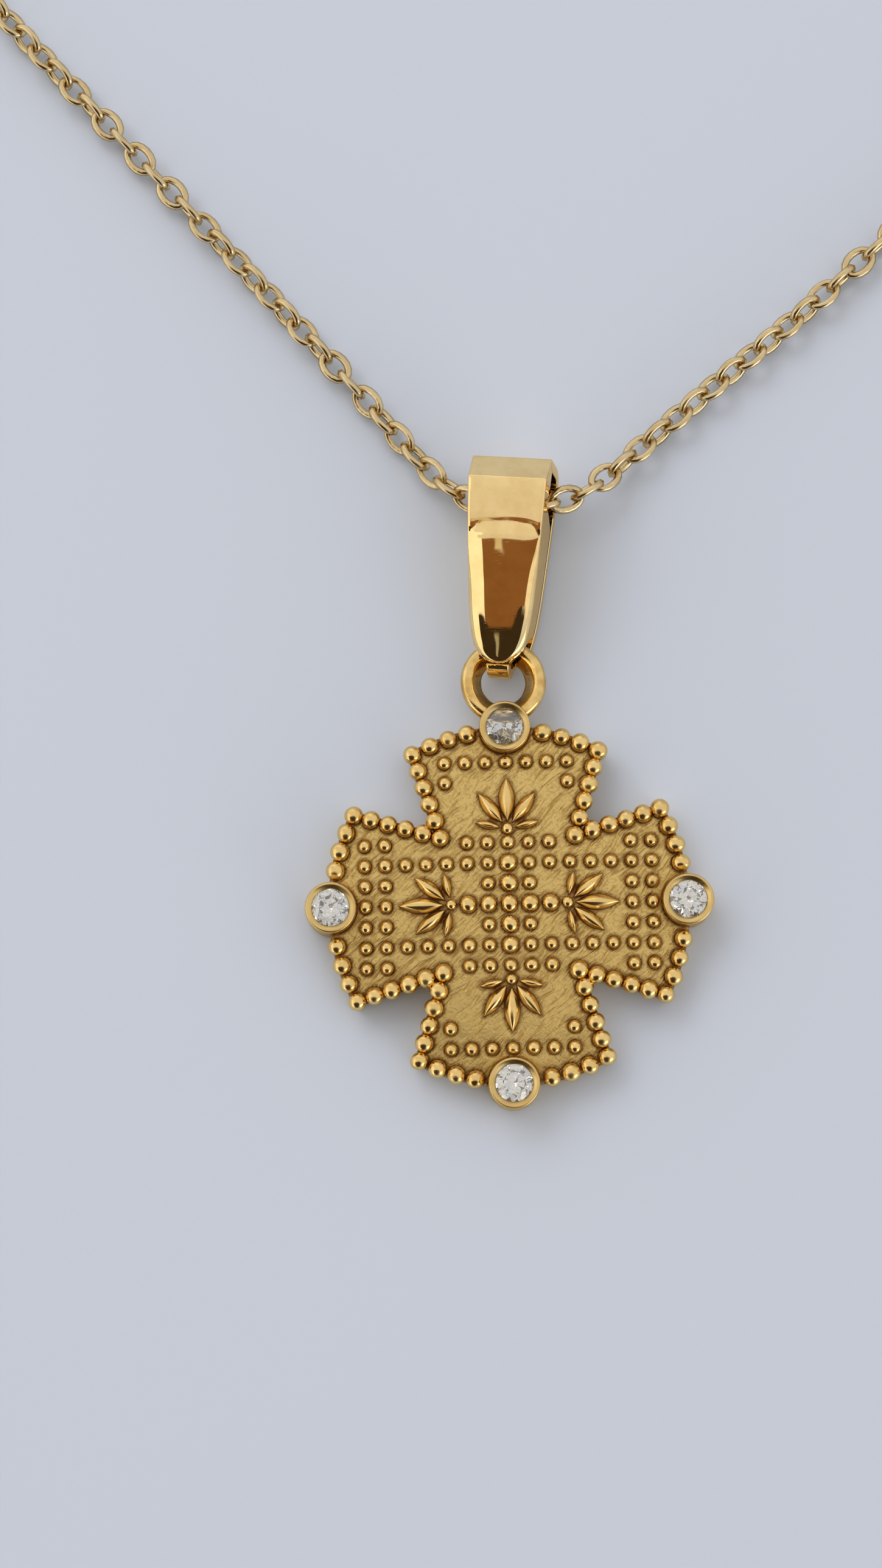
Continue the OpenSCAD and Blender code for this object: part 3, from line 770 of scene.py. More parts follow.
def leaf_mesh(start, along, half, ridge, stations=18, width=12):
    """Leaf with an arched ridge and bulging sides, laid on the domed ground."""
    def place(t, across):
        return (start[0] + along[0] * 2 * half * t + along[1] * across,
                start[1] + along[1] * 2 * half * t - along[0] * across)

    points = []
    for i in range(1, stations):
        t = (1 - math.cos(math.pi * i / stations)) / 2
        bulge = leaf_bulge(t)
        for k in range(width + 1):
            u = -1 + 2 * k / width
            x, y = place(t, LEAF_WIDTH * half * bulge * u)
            rise = (1 - abs(u) ** LEAF_ARCH[0]) ** LEAF_ARCH[1]
            groove = LEAF_GROOVE[0] * math.exp(-(u / LEAF_GROOVE[1]) ** 2) * bulge
            above = (ridge * bulge ** RIDGE_FALL + LEAF_SUNK) * rise
            points.append((x, y, ground(x, y) - LEAF_SUNK + above - groove))
    sides, rings = width + 1, stations - 1
    faces = ring_faces(rings, sides)
    first, last = len(points), len(points) + 1
    for t in (0, 1):
        x, y = place(t, 0)
        points.append((x, y, ground(x, y) - LEAF_SUNK))
    for k in range(sides):
        n = (k + 1) % sides
        faces.append((first, n, k))
        faces.append(((rings - 1) * sides + k, (rings - 1) * sides + n, last))
    return points, [tuple(reversed(f)) for f in faces]


def bead_carrier(name, places):
    """Point mesh that carries beads: x, y, z and radius of each, in millimetres."""
    mesh = bpy.data.meshes.new(name)
    mesh.from_pydata([tuple(c * MM for c in p[:3]) for p in places], [], [])
    radius = mesh.attributes.new("radius", "FLOAT", "POINT")
    radius.data.foreach_set("value", [p[3] * MM for p in places])
    carrier = bpy.data.objects.new(name, mesh)
    bpy.context.scene.collection.objects.link(carrier)
    return carrier


def make_beads(name, centres, radius, lift, seed):
    uneven = bpy.context.scene.necklace_cross.unevenness
    places = [(x, y, ground(x, y) + lift, radius) for x, y in centres]
    tree = bpy.data.node_groups.get("Beads") or bead_tree()
    return grow(bead_carrier(name, places), tree, {
        "Segments": BALL_SEGMENTS, "Rings": BALL_RINGS, "Low": (1 - uneven, 1 - uneven, 1 - uneven / 2),
        "High": (1 + uneven / 2, 1 + uneven / 2, 1), "Seed": seed,
        "Material": bpy.data.materials["Bead gold"]})


# The plate (millimetres)

OUTLINE_STEP = 0.11
# Rings of mesh points round a bead: distance from its side, turn as a part of their spacing
BEAD_RINGS = ((-0.03, 0), (0.025, 0.5), (0.08, 0))
BEZEL_RINGS = (0.8, 0.86, 0.97, 1.03)
BEAD_RING_POINTS, BEZEL_RING_POINTS = 16, 40
# The grid of mesh points: reach from the middle, distance of its rows as a part of its step, and how far
# it stays from the edge and from the feet, outside and inside
GRID_REACH, ROW_STEP = 7, 0.866
GRID_FROM_EDGE, GRID_FROM_FOOT, GRID_UNDER_FOOT = 0.05, 0.04, -0.05
RINGS_FROM_EDGE = 0.04
# Points of the triangulation nearer than this are one
MERGE = 0.002
# Depth and width of the groove round what stands on the ground, and of the edge's fall
FOOT_GROOVE, FOOT_WIDTH = 0.035, 0.07
EDGE_FALL, EDGE_WIDTH = 0.11, 0.12
# Width of the painted shade round what stands on the ground
PAINTED_SHADE_WIDTH = 0.075
# Unevenness of the ground: depth, waves to the millimetre, seed
SWELLS = ((0.022, 1.3, 2.0), (0.012, 4.0, 7.0))
# The ground is sunk under a bezel, within a radius and to a height
SUNK_R, SUNK_Z = 0.83, 0.6
# The plate's side: how far it stands out, and how far down, as a part of the height
SIDE_ROWS = ((0.0, 0.2), (0.012, 0.45), (0.0, 0.72), (-0.008, 0.9), (-0.03, 0.975), (-0.09, 1.0))
# Unevenness of the plate's side, and the share of painted shade on it
SIDE_ROUGH, SIDE_PAINTED_SHADE = 0.02, 0.15
# The side is smooth from this part of the height down
SMOOTH_FROM = 0.95


def outline_distance(points, outline):
    """Distance of each point to a closed outline, and whether it lies inside."""
    a = np.array(outline)
    b = np.roll(a, -1, axis=0)
    best = np.full(len(points), np.inf)
    inside = np.zeros(len(points), bool)
    for p, q, d in zip(a, b, b - a):
        t = np.clip(((points - p) @ d) / (d @ d), 0, 1)
        best = np.minimum(best, np.linalg.norm(points - p - t[:, None] * d, axis=1))
        crossed = (p[1] > points[:, 1]) != (q[1] > points[:, 1])
        with np.errstate(divide="ignore", invalid="ignore"):
            x = p[0] + (points[:, 1] - p[1]) * d[0] / d[1]
        inside ^= crossed & (points[:, 0] < x)
    return best, inside


def foot_distance(points, sizes):
    """Distance of each point to the foot of the nearest bead, bezel or leaf; negative under it."""
    best = np.full(len(points), np.inf)
    feet = [(p, BEZEL_R) for p in bezel_places()]
    for _, places, radius, _, inset, _ in bead_kinds(sizes):
        feet += [(p, radius - inset) for p in places]
    for p, r in feet:
        best = np.minimum(best, np.linalg.norm(points - np.array(p), axis=1) - r)
    for start, along, half in leaves(sizes):
        rel = points - np.array(start)
        t = np.clip(rel @ np.array(along) / (2 * half), 0, 1)
        across = np.linalg.norm(rel - (t * 2 * half)[:, None] * np.array(along), axis=1)
        best = np.minimum(best, across - LEAF_FOOT * half * leaf_bulge(t))
    return best


def ground_points(sizes, outline):
    """Mesh points inside the outline: rings round the beads and bezels, and a grid between them."""
    rings = []
    for _, places, radius, *_ in bead_kinds(sizes)[:3]:
        for x, y in places:
            for extra, turn in BEAD_RINGS:
                rings += circle(x, y, radius + extra, BEAD_RING_POINTS, turn)
    for x, y in bezel_places():
        for r in BEZEL_RINGS:
            rings += circle(x, y, r, BEZEL_RING_POINTS)
    rings = np.array(rings)
    edge, inside = outline_distance(rings, outline)
    rings = rings[inside & (edge > RINGS_FROM_EDGE)]
    step = sizes.ground_step / MM
    columns = math.ceil(GRID_REACH / step)
    rows = round(columns / ROW_STEP)
    grid = np.array([((i + 0.5 * (j % 2)) * step, j * step * ROW_STEP)
                     for j in range(-rows, rows + 1) for i in range(-columns, columns + 1)])
    feet = foot_distance(grid, sizes)
    edge, inside = outline_distance(grid, outline)
    grid = grid[inside & (edge > GRID_FROM_EDGE) & ((feet > GRID_FROM_FOOT) | (feet < GRID_UNDER_FOOT))]
    return [Vector(p) for p in rings] + [Vector(p) for p in grid]


def cast_height(x, y, foot, edge):
    """Height of the cast ground at a place, from its distances to the nearest foot and to the edge."""
    if min(math.dist((x, y), p) for p in bezel_places()) < SUNK_R:
        return SUNK_Z
    swell = sum(depth * noise.noise((x * scale, y * scale, seed)) for depth, scale, seed in SWELLS)
    groove = FOOT_GROOVE * math.exp(-(max(foot, 0) / FOOT_WIDTH) ** 2)
    return ground(x, y) + swell - groove - EDGE_FALL * max(0.0, 1 - edge / EDGE_WIDTH) ** 2


def outward(outline):
    """Direction out of the outline at each of its points."""
    found = []
    for i in range(len(outline)):
        before, after = np.array(outline[i - 1]), np.array(outline[(i + 1) % len(outline)])
        d = (after - before) / np.linalg.norm(after - before)
        found.append((d[1], -d[0]))
    return found


def make_plate():
    """The cross's plate: domed, tooled ground, rounded edge, rough sides and a flat back."""
    sizes = bpy.context.scene.necklace_cross
    outline = plate_outline(OUTLINE_STEP)
    ends = len(outline)
    flat = [Vector(p) for p in outline] + ground_points(sizes, outline)
    made = delaunay_2d_cdt(flat, [], [list(range(ends))], 1, MERGE)
    places, faces = np.array([tuple(v) for v in made[0]]), [tuple(f) for f in made[2]]
    feet = foot_distance(places, sizes)
    edges, _ = outline_distance(places, outline)
    points = [(x, y, cast_height(x, y, foot, edge)) for (x, y), foot, edge in zip(places, feet, edges)]
    # Share of the painted shade at each point, full at the foot of what stands on the ground
    hollow = list(np.exp(-(np.maximum(feet, 0) / PAINTED_SHADE_WIDTH) ** 2))
    # Each outline point of the triangulation, in order, from the source order that the call returns
    source = {origin: index for index, origins in enumerate(made[3]) for origin in origins}
    rim = [source[i] for i in range(ends)]
    last, normals = rim, outward(outline)
    for grow_out, down in SIDE_ROWS:
        row = []
        for (nx, ny), (x, y, top) in zip(normals, [points[i] for i in rim]):
            rough = SIDE_ROUGH * noise.noise((x * 2, y * 2, down * 3)) if down < SMOOTH_FROM else 0.0
            row.append(len(points))
            points.append((x + nx * (grow_out + rough), y + ny * (grow_out + rough), top * (1 - down)))
            hollow.append(SIDE_PAINTED_SHADE)
        for i in range(ends):
            n = (i + 1) % ends
            faces.append((last[i], row[i], row[n], last[n]))
        last = row
    faces.append(tuple(reversed(last)))
    piece = new_piece("cross_plate", points, faces, "Ground gold")
    attribute = piece.data.attributes.new("hollow", "FLOAT", "POINT")
    attribute.data.foreach_set("value", hollow)
    return soften(piece, 50)


# A bezel with its burnished lip and the seat of its stone: radius, height
BEZEL_PROFILE = (
    (0, 0.0), (0.86, 0.0), (0.925, 0.03), (0.95, 0.1), (0.95, 1.0), (0.95, 1.5), (0.946, 1.57), (0.93, 1.62),
    (0.905, 1.65), (0.875, 1.66), (0.845, 1.655), (0.8, 1.635), (0.74, 1.6), (0.705, 1.578), (0.688, 1.565),
    (0.684, 1.552), (0.705, 1.535), (0.785, 1.53), (0.785, 1.38), (0.5, 1.02), (0.3, 0.78), (0, 0.77))


class NECKLACE_OT_cross(bpy.types.Operator):
    """Build the cross: plate, beads, grains, palmettes, bezels and loop"""
    bl_idname = "necklace.cross"
    bl_label = "Cross"

    def execute(self, context):
        sizes = context.scene.necklace_cross
        bezels = [lathe(BEZEL_PROFILE, p) for p in bezel_places()]
        palmettes = [leaf_mesh(*leaf, sizes.leaf_ridge / MM) for leaf in leaves(sizes)]
        pieces = [make_plate(), soften(joined("bezels", bezels, "Bezel gold"), 38),
                  soften(joined("palmettes", palmettes, "Bead gold"), 60)]
        for name, places, radius, lift, _, seed in bead_kinds(sizes):
            pieces.append(make_beads(name, places, radius, lift, seed))
        loop = turned_ring(LOOP_AT, LOOP_SECTION, uneven=0.02)
        pieces.append(soften(new_piece("loop", *loop, "Loop gold"), 60))
        for piece in pieces:
            declare(piece, "cast_gold", "cross")
        return {"FINISHED"}


class NECKLACE_OT_stones(bpy.types.Operator):
    """Give the four stones of the frame their clear finish"""
    bl_idname = "necklace.stones"
    bl_label = "Stones"

    def execute(self, context):
        for name in ("stone_top", "stone_right", "stone_bottom", "stone_left"):
            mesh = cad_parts[name].data
            mesh.materials.clear()
            mesh.materials.append(bpy.data.materials["Clear stone"])
        return {"FINISHED"}


# The bail (millimetres; in its own frame y runs up its length, z to its front, u across)

BAIL_L, BOTTOM_R, TOP_R = 6.25, 0.95, 0.9
BAIL_TOP = BAIL_L + TOP_R
BAIL_OPEN = math.radians(12.8)
TIP_BEND = math.radians(26)
CREASE_Y, FACET_Z = 6.2, 1.5
CREASE_ROUND, CORNER_ROUND, LEAST_ROUND = 0.07, 0.25, 0.02
# Half width of the sheet along the bail: y, half width
BAIL_WIDTHS = (
    (-1.2, 0.41), (-0.62, 0.42), (-0.46, 0.43), (-0.32, 0.555), (-0.12, 0.79), (0.1, 0.93), (0.5, 1.06),
    (1.6, 1.22), (4, 1.36), (6.1, 1.46), (7.4, 1.5))
BAIL_PLACE = (Matrix.Translation((-0.04, 9.39, 1.12)) @ Matrix.Rotation(math.radians(-6.5), 4, "Z")
              @ Matrix.Rotation(math.radians(0.8), 4, "X") @ Matrix.Rotation(math.radians(-9), 4, "Y"))
# Free edge of the side walls: the front leaf's y above it, and its own y and z
WALL_EDGE = ((0.1, 0.62, 0.2), (0.35, 0.75, -0.3), (4.35, 4.85, -0.3), (4.95, 5.3, 0.9), (5.2, 5.5, 1.15),
             (6.1, 6.35, 1.15))
WALL_AT_FACET, WALL_AT_TOP = (6.5, 1.15), (6.74, 1.15)
# Stretch along the front leaf over which the walls begin
WALL_BEGINS = (0.1, 0.3)
# A wall's rows: part of the way down, how far in from the side
WALL_ROWS = ((0.12, 0.0), (0.4, 0.0), (0.75, 0.0), (0.96, 0.0), (1.0, 0.03))
# Thickness of a side wall and of the side where no wall stands, and the side's least depth
WALL, THIN_WALL, LEAST_WALL = 0.3, 0.05, 0.1
# The bow's middle and half length along the front leaf
BOW_MIDDLE, BOW_REACH = 2.4, 3.9
# The raised panel's upper end and tip, and how far its end falls to the corners and waves
PANEL_TOP, PANEL_TIP = 4.45, -0.52
PANEL_CORNERS, PANEL_WAVE = 0.22, 0.035
# Depths of the plain strip and of the tip below the panel, and of the groove at the panel's upper end
STRIP_DROP, TIP_DROP, GROOVE = 0.045, 0.12, 0.0035
GROOVE_AT, GROOVE_WIDTH = -0.1, 0.1
# Stretch over which the panel rises at its upper end, how round its tip is, and how wide its right
# shoulder is beside the left one
PANEL_RISE = (-0.08, 0.06)
TIP_ROUND, RIGHT_SHARE = 0.62, 0.8
# The sheet's rounded side edges: drop and width
EDGE_DROP, EDGE_ROUND = 0.05, 0.08
# Stretches along the front leaf over which the shoulders widen and deepen from the tip, and fade at the top
SHOULDER_WIDENS, SHOULDER_DEEPENS, SHOULDER_FADES = (-0.5, 0.35), (-0.5, 0.2), (0.0, 2.2)
# Lengths over which the panel rounds off at its tip and its upper end, and how far its crown falls to
# the sides
TIP_SOFT, TOP_SOFT, CROWN = 0.25, 0.5, 0.02
ON_TIP, ON_BACK, ON_TOP, ON_FACET, ON_FACE = range(5)


def step_up(value, start, end):
    """Smooth step from 0 to 1."""
    t = min(1.0, max(0.0, (value - start) / (end - start)))
    return t * t * (3 - 2 * t)


def shoulder(t):
    """Quarter circle from 0 to 1."""
    t = min(1.0, max(0.0, t))
    return math.sqrt(1 - (1 - t) ** 2)


def smoothed(line, rounds=2):
    """Open line with its corners cut off, its ends kept."""
    for _ in range(rounds):
        cut = [line[0]]
        for a, b in zip(line, line[1:]):
            cut += [between(a, b, t) for t in (0.25, 0.75)]
        line = cut + [line[-1]]
    return line


BAIL_EDGE = list(zip(*smoothed(BAIL_WIDTHS)))


def bail_half_width(y):
    return float(np.interp(y, *BAIL_EDGE))


def arc(middle, radius, start, end, count):
    return [Vector((middle[0] + radius * math.cos(start + (end - start) * i / count),
                    middle[1] + radius * math.sin(start + (end - start) * i / count))) for i in range(count)]


def straight(a, b, count):
    return [Vector(a).lerp(Vector(b), i / count) for i in range(count)]


def crossing(n, c, m, e):
    """Point at distance c along direction n and e along m."""
    return Vector((c * m[1] - e * n[1], n[0] * e - m[0] * c)) / (n[0] * m[1] - n[1] * m[0])


def rounded(before, corner, after, radius, count):
    """Points of a corner's rounding, and the ends of the straights that it joins."""
    a, b = (before - corner).normalized(), (after - corner).normalized()
    half = a.angle(b) / 2
    reach = radius / math.tan(half)
    middle = corner + (a + b).normalized() * radius / math.sin(half)
    first, last = corner + a * reach - middle, corner + b * reach - middle
    start = math.atan2(first.y, first.x)
    sweep = (math.atan2(last.y, last.x) - start + math.pi) % (2 * math.pi) - math.pi
    return arc(middle, radius, start, start + sweep, count), middle + first, middle + last


def bail_line(depth):
    """The bail seen from its side, once round, at a depth below its outer side: part and place."""
    front_out = (-math.sin(BAIL_OPEN), math.cos(BAIL_OPEN))
    crease = crossing(front_out, BOTTOM_R, (1, 0), CREASE_Y)
    facet_out = Vector((crease.y - FACET_Z, BAIL_TOP - crease.x)).normalized()
    facet = facet_out.dot(crease) - depth
    corner = crossing((1, 0), BAIL_TOP - depth, facet_out, facet)
    crease = crossing(facet_out, facet, front_out, BOTTOM_R - depth)
    front = math.pi / 2 + BAIL_OPEN
    tip, low, right = front + TIP_BEND, 1.5 * math.pi, 2 * math.pi
    bottom_r, back, top_middle = BOTTOM_R - depth, depth - BOTTOM_R, (BAIL_L, TOP_R - BOTTOM_R)
    face_end = bottom_r * Vector(front_out)
    top_end = Vector((BAIL_TOP - depth, TOP_R - BOTTOM_R))
    corner_r, crease_r = max(LEAST_ROUND, CORNER_ROUND - depth), max(LEAST_ROUND, CREASE_ROUND - depth)
    turn, up_end, facet_start = rounded(top_end, corner, crease, corner_r, 6)
    fold, facet_end, face_start = rounded(corner, crease, face_end, crease_r, 5)
    parts = (
        (ON_TIP, arc((0, 0), bottom_r, front, tip, 18)),
        (ON_BACK, arc((0, 0), bottom_r, tip, low, 24)),
        (ON_BACK, straight((0, back), (BAIL_L, back), 24)),
        (ON_BACK, arc(top_middle, TOP_R - depth, low, right, 12)),
        (ON_TOP, straight(top_end, up_end, 5) + turn),
        (ON_FACET, straight(facet_start, facet_end, 8)),
        (ON_FACE, fold + straight(face_start, face_end, 72)))
    return [(part, place) for part, places in parts for place in places]


def wall_foot(part, outer, inner):
    """Where the side wall ends below a point of the outer line; without a wall, the sheet's inner side."""
    if part == ON_FACE and outer.x > WALL_BEGINS[0]:
        above, ys, zs = zip(*WALL_EDGE)
        foot = Vector((float(np.interp(outer.x, above, ys)), float(np.interp(outer.x, above, zs))))
        return inner.lerp(foot, step_up(outer.x, *WALL_BEGINS))
    if part == ON_FACET:
        return Vector(WALL_AT_FACET).lerp(Vector(WALL_AT_TOP), step_up(outer.x, CREASE_Y, BAIL_TOP - 0.1))
    return inner


def panel_top(u):
    """Wavy upper end of the front leaf's raised panel, rounded off at its corners."""
    return PANEL_TOP - PANEL_CORNERS * abs(u) ** 4 + PANEL_WAVE * math.sin(2.6 * u + 0.9)


def bail_sink(u, y, part, sizes):
    """How far the sheet's outer side falls below the raised panel's middle; u is from -1 to 1."""
    width = bail_half_width(y)
    edge = width * (1 - abs(u))
    strip = EDGE_DROP * (1 - shoulder(edge / EDGE_ROUND))
    if part == ON_FACET:
        return strip + STRIP_DROP * (BAIL_TOP - y) / (BAIL_TOP - CREASE_Y)
    if part not in (ON_TIP, ON_FACE):
        return strip
    top, tip = panel_top(u) - y, y - PANEL_TIP - TIP_ROUND * (u * width) ** 2
    reach = sizes.shoulder / MM * (RIGHT_SHARE if u > 0 else 1.0) * (0.3 + 0.7 * step_up(y, *SHOULDER_WIDENS))
    full = TIP_DROP + (sizes.shoulder_drop / MM - TIP_DROP) * step_up(y, *SHOULDER_DEEPENS)
    full += (EDGE_DROP + STRIP_DROP - full) * (1 - step_up(top, *SHOULDER_FADES))
    pillow = full * (1 - shoulder(edge / reach) * shoulder(tip / TIP_SOFT)) + CROWN * u * u
    rise = STRIP_DROP * (1 - shoulder(top / TOP_SOFT))
    groove = GROOVE * math.exp(-((top - GROOVE_AT) / GROOVE_WIDTH) ** 2)
    panel = step_up(top, *PANEL_RISE)
    return (panel * (pillow + rise * (1 - min(1.0, pillow / full)))
            + (1 - panel) * (strip + STRIP_DROP + groove))


def bail_side(side, edge, foot, below, sheet):
    """Section of one side wall, from the outer side's edge round its foot to the sheet's inner side."""
    low = foot if (foot - edge).dot(sheet) > LEAST_WALL else edge + sheet * LEAST_WALL
    walled = min(1.0, (foot - below).length / WALL)
    rows = [(edge.lerp(low, down), inset) for down, inset in WALL_ROWS]
    inside = bail_half_width(low.x) - THIN_WALL - (WALL - THIN_WALL) * walled
    return ([(side * (bail_half_width(p.x) - inset), p) for p, inset in rows]
            + [(side * (inside + 0.02), low), (side * inside, low.lerp(below, 0.05)), (side * inside, below)])


def make_bail():
    sizes = bpy.context.scene.necklace_bail
    outer, inner = bail_line(0.0), bail_line(sizes.wall / MM)
    across = [math.sin(math.pi / 2 * k / 14) for k in range(-14, 15)]
    points = []
    for (part, top), (_, below) in zip(outer, inner):
        foot = wall_foot(part, top, below)
        sheet = (below - top).normalized()
        bow = max(0.0, 1 - ((top.x - BOW_MIDDLE) / BOW_REACH) ** 2) if part in (ON_TIP, ON_FACE) else 0.0
        raised = top - sheet * (sizes.bow / MM * bow)
        width = bail_half_width(top.x)
        section = [(u * width, raised + sheet * bail_sink(u, top.x, part, sizes)) for u in across]
        left, right = (bail_side(side, section[end][1], foot, below, sheet)
                       for side, end in ((-1, 0), (1, -1)))
        floor = [(right[-1][0] * k / 4, below) for k in (3, 1, -1, -3)]
        section += right + floor + left[::-1]
        points += [tuple(BAIL_PLACE @ Vector((u, p.x, p.y))) for u, p in section]
    faces = ring_faces(len(outer), len(section), closed=True)
    return soften(new_piece("bail_gold", points, faces, "Bail gold"), 40)


class NECKLACE_OT_bail(bpy.types.Operator):
    """Build the tapered bail with its rounded shoulders"""
    bl_idname = "necklace.bail"
    bl_label = "Bail"

    def execute(self, context):
        declare(make_bail(), "polished_gold", "bail")
        return {"FINISHED"}


# Chain and clasp (millimetres)

# The chain's line, from the clasp's eye round the left side, through the bail and back to the jump ring
CHAIN_Z = 0.55
ROUTE = (
    (6.05, 177, .68), (-4, 175, .55), (-20, 170, .55), (-34, 161.5, .55), (-46, 150, .55),
    (-54.5, 136, .55), (-59, 120, .55), (-60, 105, .55), (-57.5, 91, .55), (-51.5, 77.5, .55),
    (-43, 65.5, .55), (-32, 51.5, .55), (-24.5, 42.1, .55), (-18.7, 35.1, .55), (-13.5, 29.2, .55),
    (-9, 24.1, .55), (-5.2, 19.7, .55), (-3.3, 17.4, .56), (-2.2, 16.15, .78), (-0.9, 15.2, 1.14),
    (0.6, 14.95, 1.34), (2, 15, 1.54), (3.2, 15.4, 1.36), (4.6, 16.5, .84), (6, 17.7, .56),
    (8.7, 19.9, .55), (11.7, 22.3, .55), (14.6, 24.8, .55), (20, 29.4, .55), (27, 35.5, .55),
    (36, 43.5, .55), (47, 54.5, .55), (57.5, 66, .55), (67, 79, .55), (73, 93, .55), (75.5, 107, .55),
    (74.5, 121, .55), (70, 136, .55), (62, 150, .55), (50, 162.5, .55), (36, 171, .55),
    (23, 175.7, .55), (14.4, 177, .6))
LINK_SEGMENTS, LINK_SIDES = 16, 6


def route_line(steps=12):
    """Smooth line through the route's points, kept on the surface."""
    line = []
    last = len(ROUTE) - 1
    for i in range(last):
        a, b, c, d = (Vector(ROUTE[max(0, min(last, i + k))]) for k in (-1, 0, 1, 2))
        for k in range(steps):
            t = k / steps
            p = 0.5 * (2 * b + (c - a) * t + (2 * a - 5 * b + 4 * c - d) * t * t
                       + (3 * b - a - 3 * c + d) * t ** 3)
            line.append((p.x, p.y, max(CHAIN_Z, p.z)))
    return line + [ROUTE[-1]]


def make_chain():
    sizes = bpy.context.scene.necklace_chain
    curve = bpy.data.curves.new("chain_links", "CURVE")
    curve.dimensions = "3D"
    line = route_line()
    spline = curve.splines.new("POLY")
    spline.points.add(len(line) - 1)
    for point, place in zip(spline.points, line):
        point.co = (*(c * MM for c in place), 1.0)
    route = bpy.data.objects.new("chain_links", curve)
    bpy.context.scene.collection.objects.link(route)
    wire = sizes.wire
    return grow(route, link_tree(), {
        "Links": sizes.links, "Half Length": (sizes.link_length - wire) / 2,
        "Half Width": (sizes.link_width - wire) / 2, "Wire Radius": wire / 2, "Segments": LINK_SEGMENTS,
        "Sides": LINK_SIDES, "Roll": sizes.roll, "Seed": sizes.seed,
        "Material": bpy.data.materials["Chain gold"]})


class NECKLACE_OT_chain(bpy.types.Operator):
    """Build the chain's interlocking links along its route"""
    bl_idname = "necklace.chain"
    bl_label = "Chain"

    def execute(self, context):
        declare(make_chain(), "chain_gold", "chain")
        return {"FINISHED"}


CLASP_AT, EYE_AT, JUMP_RING_AT = (9.8, 177, 0.6), (13.35, 177, 0.6), (7.3, 177, 0.7)
CLASP_TILT = Matrix.Rotation(math.radians(2), 3, "Y")
JUMP_RING_LEAN = Matrix.Rotation(math.radians(33), 3, "X")
# The lever's knob on the ring: radius, height
LEVER_PROFILE = ((0, 0.9), (0.22, 0.9), (0.25, 0.93), (0.25, 1.24), (0.2, 1.32), (0.0, 1.34))


def wire_ring(centre, outer, wire, *rest):
    """Ring of round wire from its outer diameter and its wire's thickness."""
    return torus(centre, (outer - wire) / 2 / MM, wire / 2 / MM, *rest)


class NECKLACE_OT_clasp(bpy.types.Operator):
    """Build the clasp's ring with its eye and lever, and the jump ring that it holds"""
    bl_idname = "necklace.clasp"
    bl_label = "Clasp"

    def execute(self, context):
        sizes = context.scene.necklace_clasp
        ring_radius = (sizes.ring_diameter - sizes.tube) / 2 / MM
        parts = [
            wire_ring(CLASP_AT, sizes.ring_diameter, sizes.tube, CLASP_TILT, 72, 20),
            wire_ring(EYE_AT, sizes.eye_diameter, sizes.eye_wire, Matrix(), 40, 12),
            wire_ring(JUMP_RING_AT, sizes.jump_ring, sizes.jump_wire, JUMP_RING_LEAN, 40, 12),
            lathe(LEVER_PROFILE, (CLASP_AT[0], CLASP_AT[1] + ring_radius), 20)]
        declare(soften(joined("clasp_ring", parts, "Bail gold"), 50), "polished_gold", "clasp")
        return {"FINISHED"}


# Floor, light and camera

CAMERA_AT = (-2.411, -11.130, 116.562)
CAMERA_DIRECTION = (0.0, 0.134505, -0.990913)
CAMERA_UP = (0.024163, 0.990624, 0.134466)
SENSOR = 24.0
FOCAL_PX, FRAME_PX = 5163.87, 2576
# Half side and height of the floor
FLOOR_REACH, FLOOR_Z = 2400, -0.02
# The window in metres: where it stands, its width and height
WINDOW_AT, WINDOW_SIZE = (-0.32, 0.42, 0.5), (0.5, 0.35)
WINDOW_POWER, WINDOW_COLOUR = 1.3, (1.0, 0.97, 0.92)

# What the gold mirrors, as directions seen from the necklace
# Round patches: direction, cosines at which it is full and at which it ends, brightness
LIGHT_PATCHES = (
    ((-0.45, 0.75, 0.6), 0.95, 0.55, (1.1, 1.07, 1.0)),
    ((0.9, 0.2, 0.35), 0.95, 0.75, (0.8, 0.78, 0.72)),
    ((-0.68, -0.7, 0.17), 0.972, 0.92, (3.0, 2.95, 2.7)),
    ((0.7, -0.68, 0.15), 0.972, 0.92, (2.7, 2.6, 2.3)))
# The rest lies on a plane at unit height overhead, turned with the bail. The dark field starts at a y and
# spreads away from it; the boxes are x from and to, y from and to, softness, brightness, and later ones
# cover earlier ones
PATCH_TURN = math.radians(7.7)
DARK_FROM, DARK_SPREAD = -0.31, 0.8
DARK_FIELD = ((-1.0, 0.53, -90.0, DARK_FROM), 0.003, (0.042, 0.028, 0.016))
PATCHES = (
    ((-3.0, 1.6, -0.22, 1.2), 0.1, (0.84, 0.8, 0.72)),
    ((-9.0, -1.0, -3.0, 0.3), 0.15, (1.2, 1.12, 0.95)),
    DARK_FIELD,
    ((-1.6, -0.435, -0.335, -0.14), 0.006, (1.2, 1.13, 0.98)),
    ((0.12, 1.3, -0.335, -0.14), 0.03, (0.95, 0.88, 0.76)),
    ((-0.445, 0.34, -0.335, -0.222), 0.003, (0.25, 0.112, 0.04)),
    ((-0.57, 0.5, -0.222, -0.18), 0.006, (0.78, 0.73, 0.66)),
    ((-0.338, -0.323, -0.6, -0.345), 0.003, (0.4, 0.38, 0.28)),
    ((-0.34, -0.325, -0.245, -0.222), 0.002, (0.7, 0.62, 0.45)))
# Brightness of the sky near the horizon and overhead, and what the camera itself sees of it
SKY_LOW, SKY_HIGH = 0.5, 0.72
BACKDROP = (0.6, 0.63, 0.7)


def box_mask(tree, x, y, low_x, high_x, low_y, high_y, soft):
    """1 inside a box and 0 outside it."""
    sides = []
    for value, low, high in ((x, low_x, high_x), (y, low_y, high_y)):
        sides.append(fade(tree, value, low - soft, low + soft))
        sides.append(fade(tree, value, high - soft, high + soft, 1.0, 0.0))
    return calc(tree, "MULTIPLY", *sides)


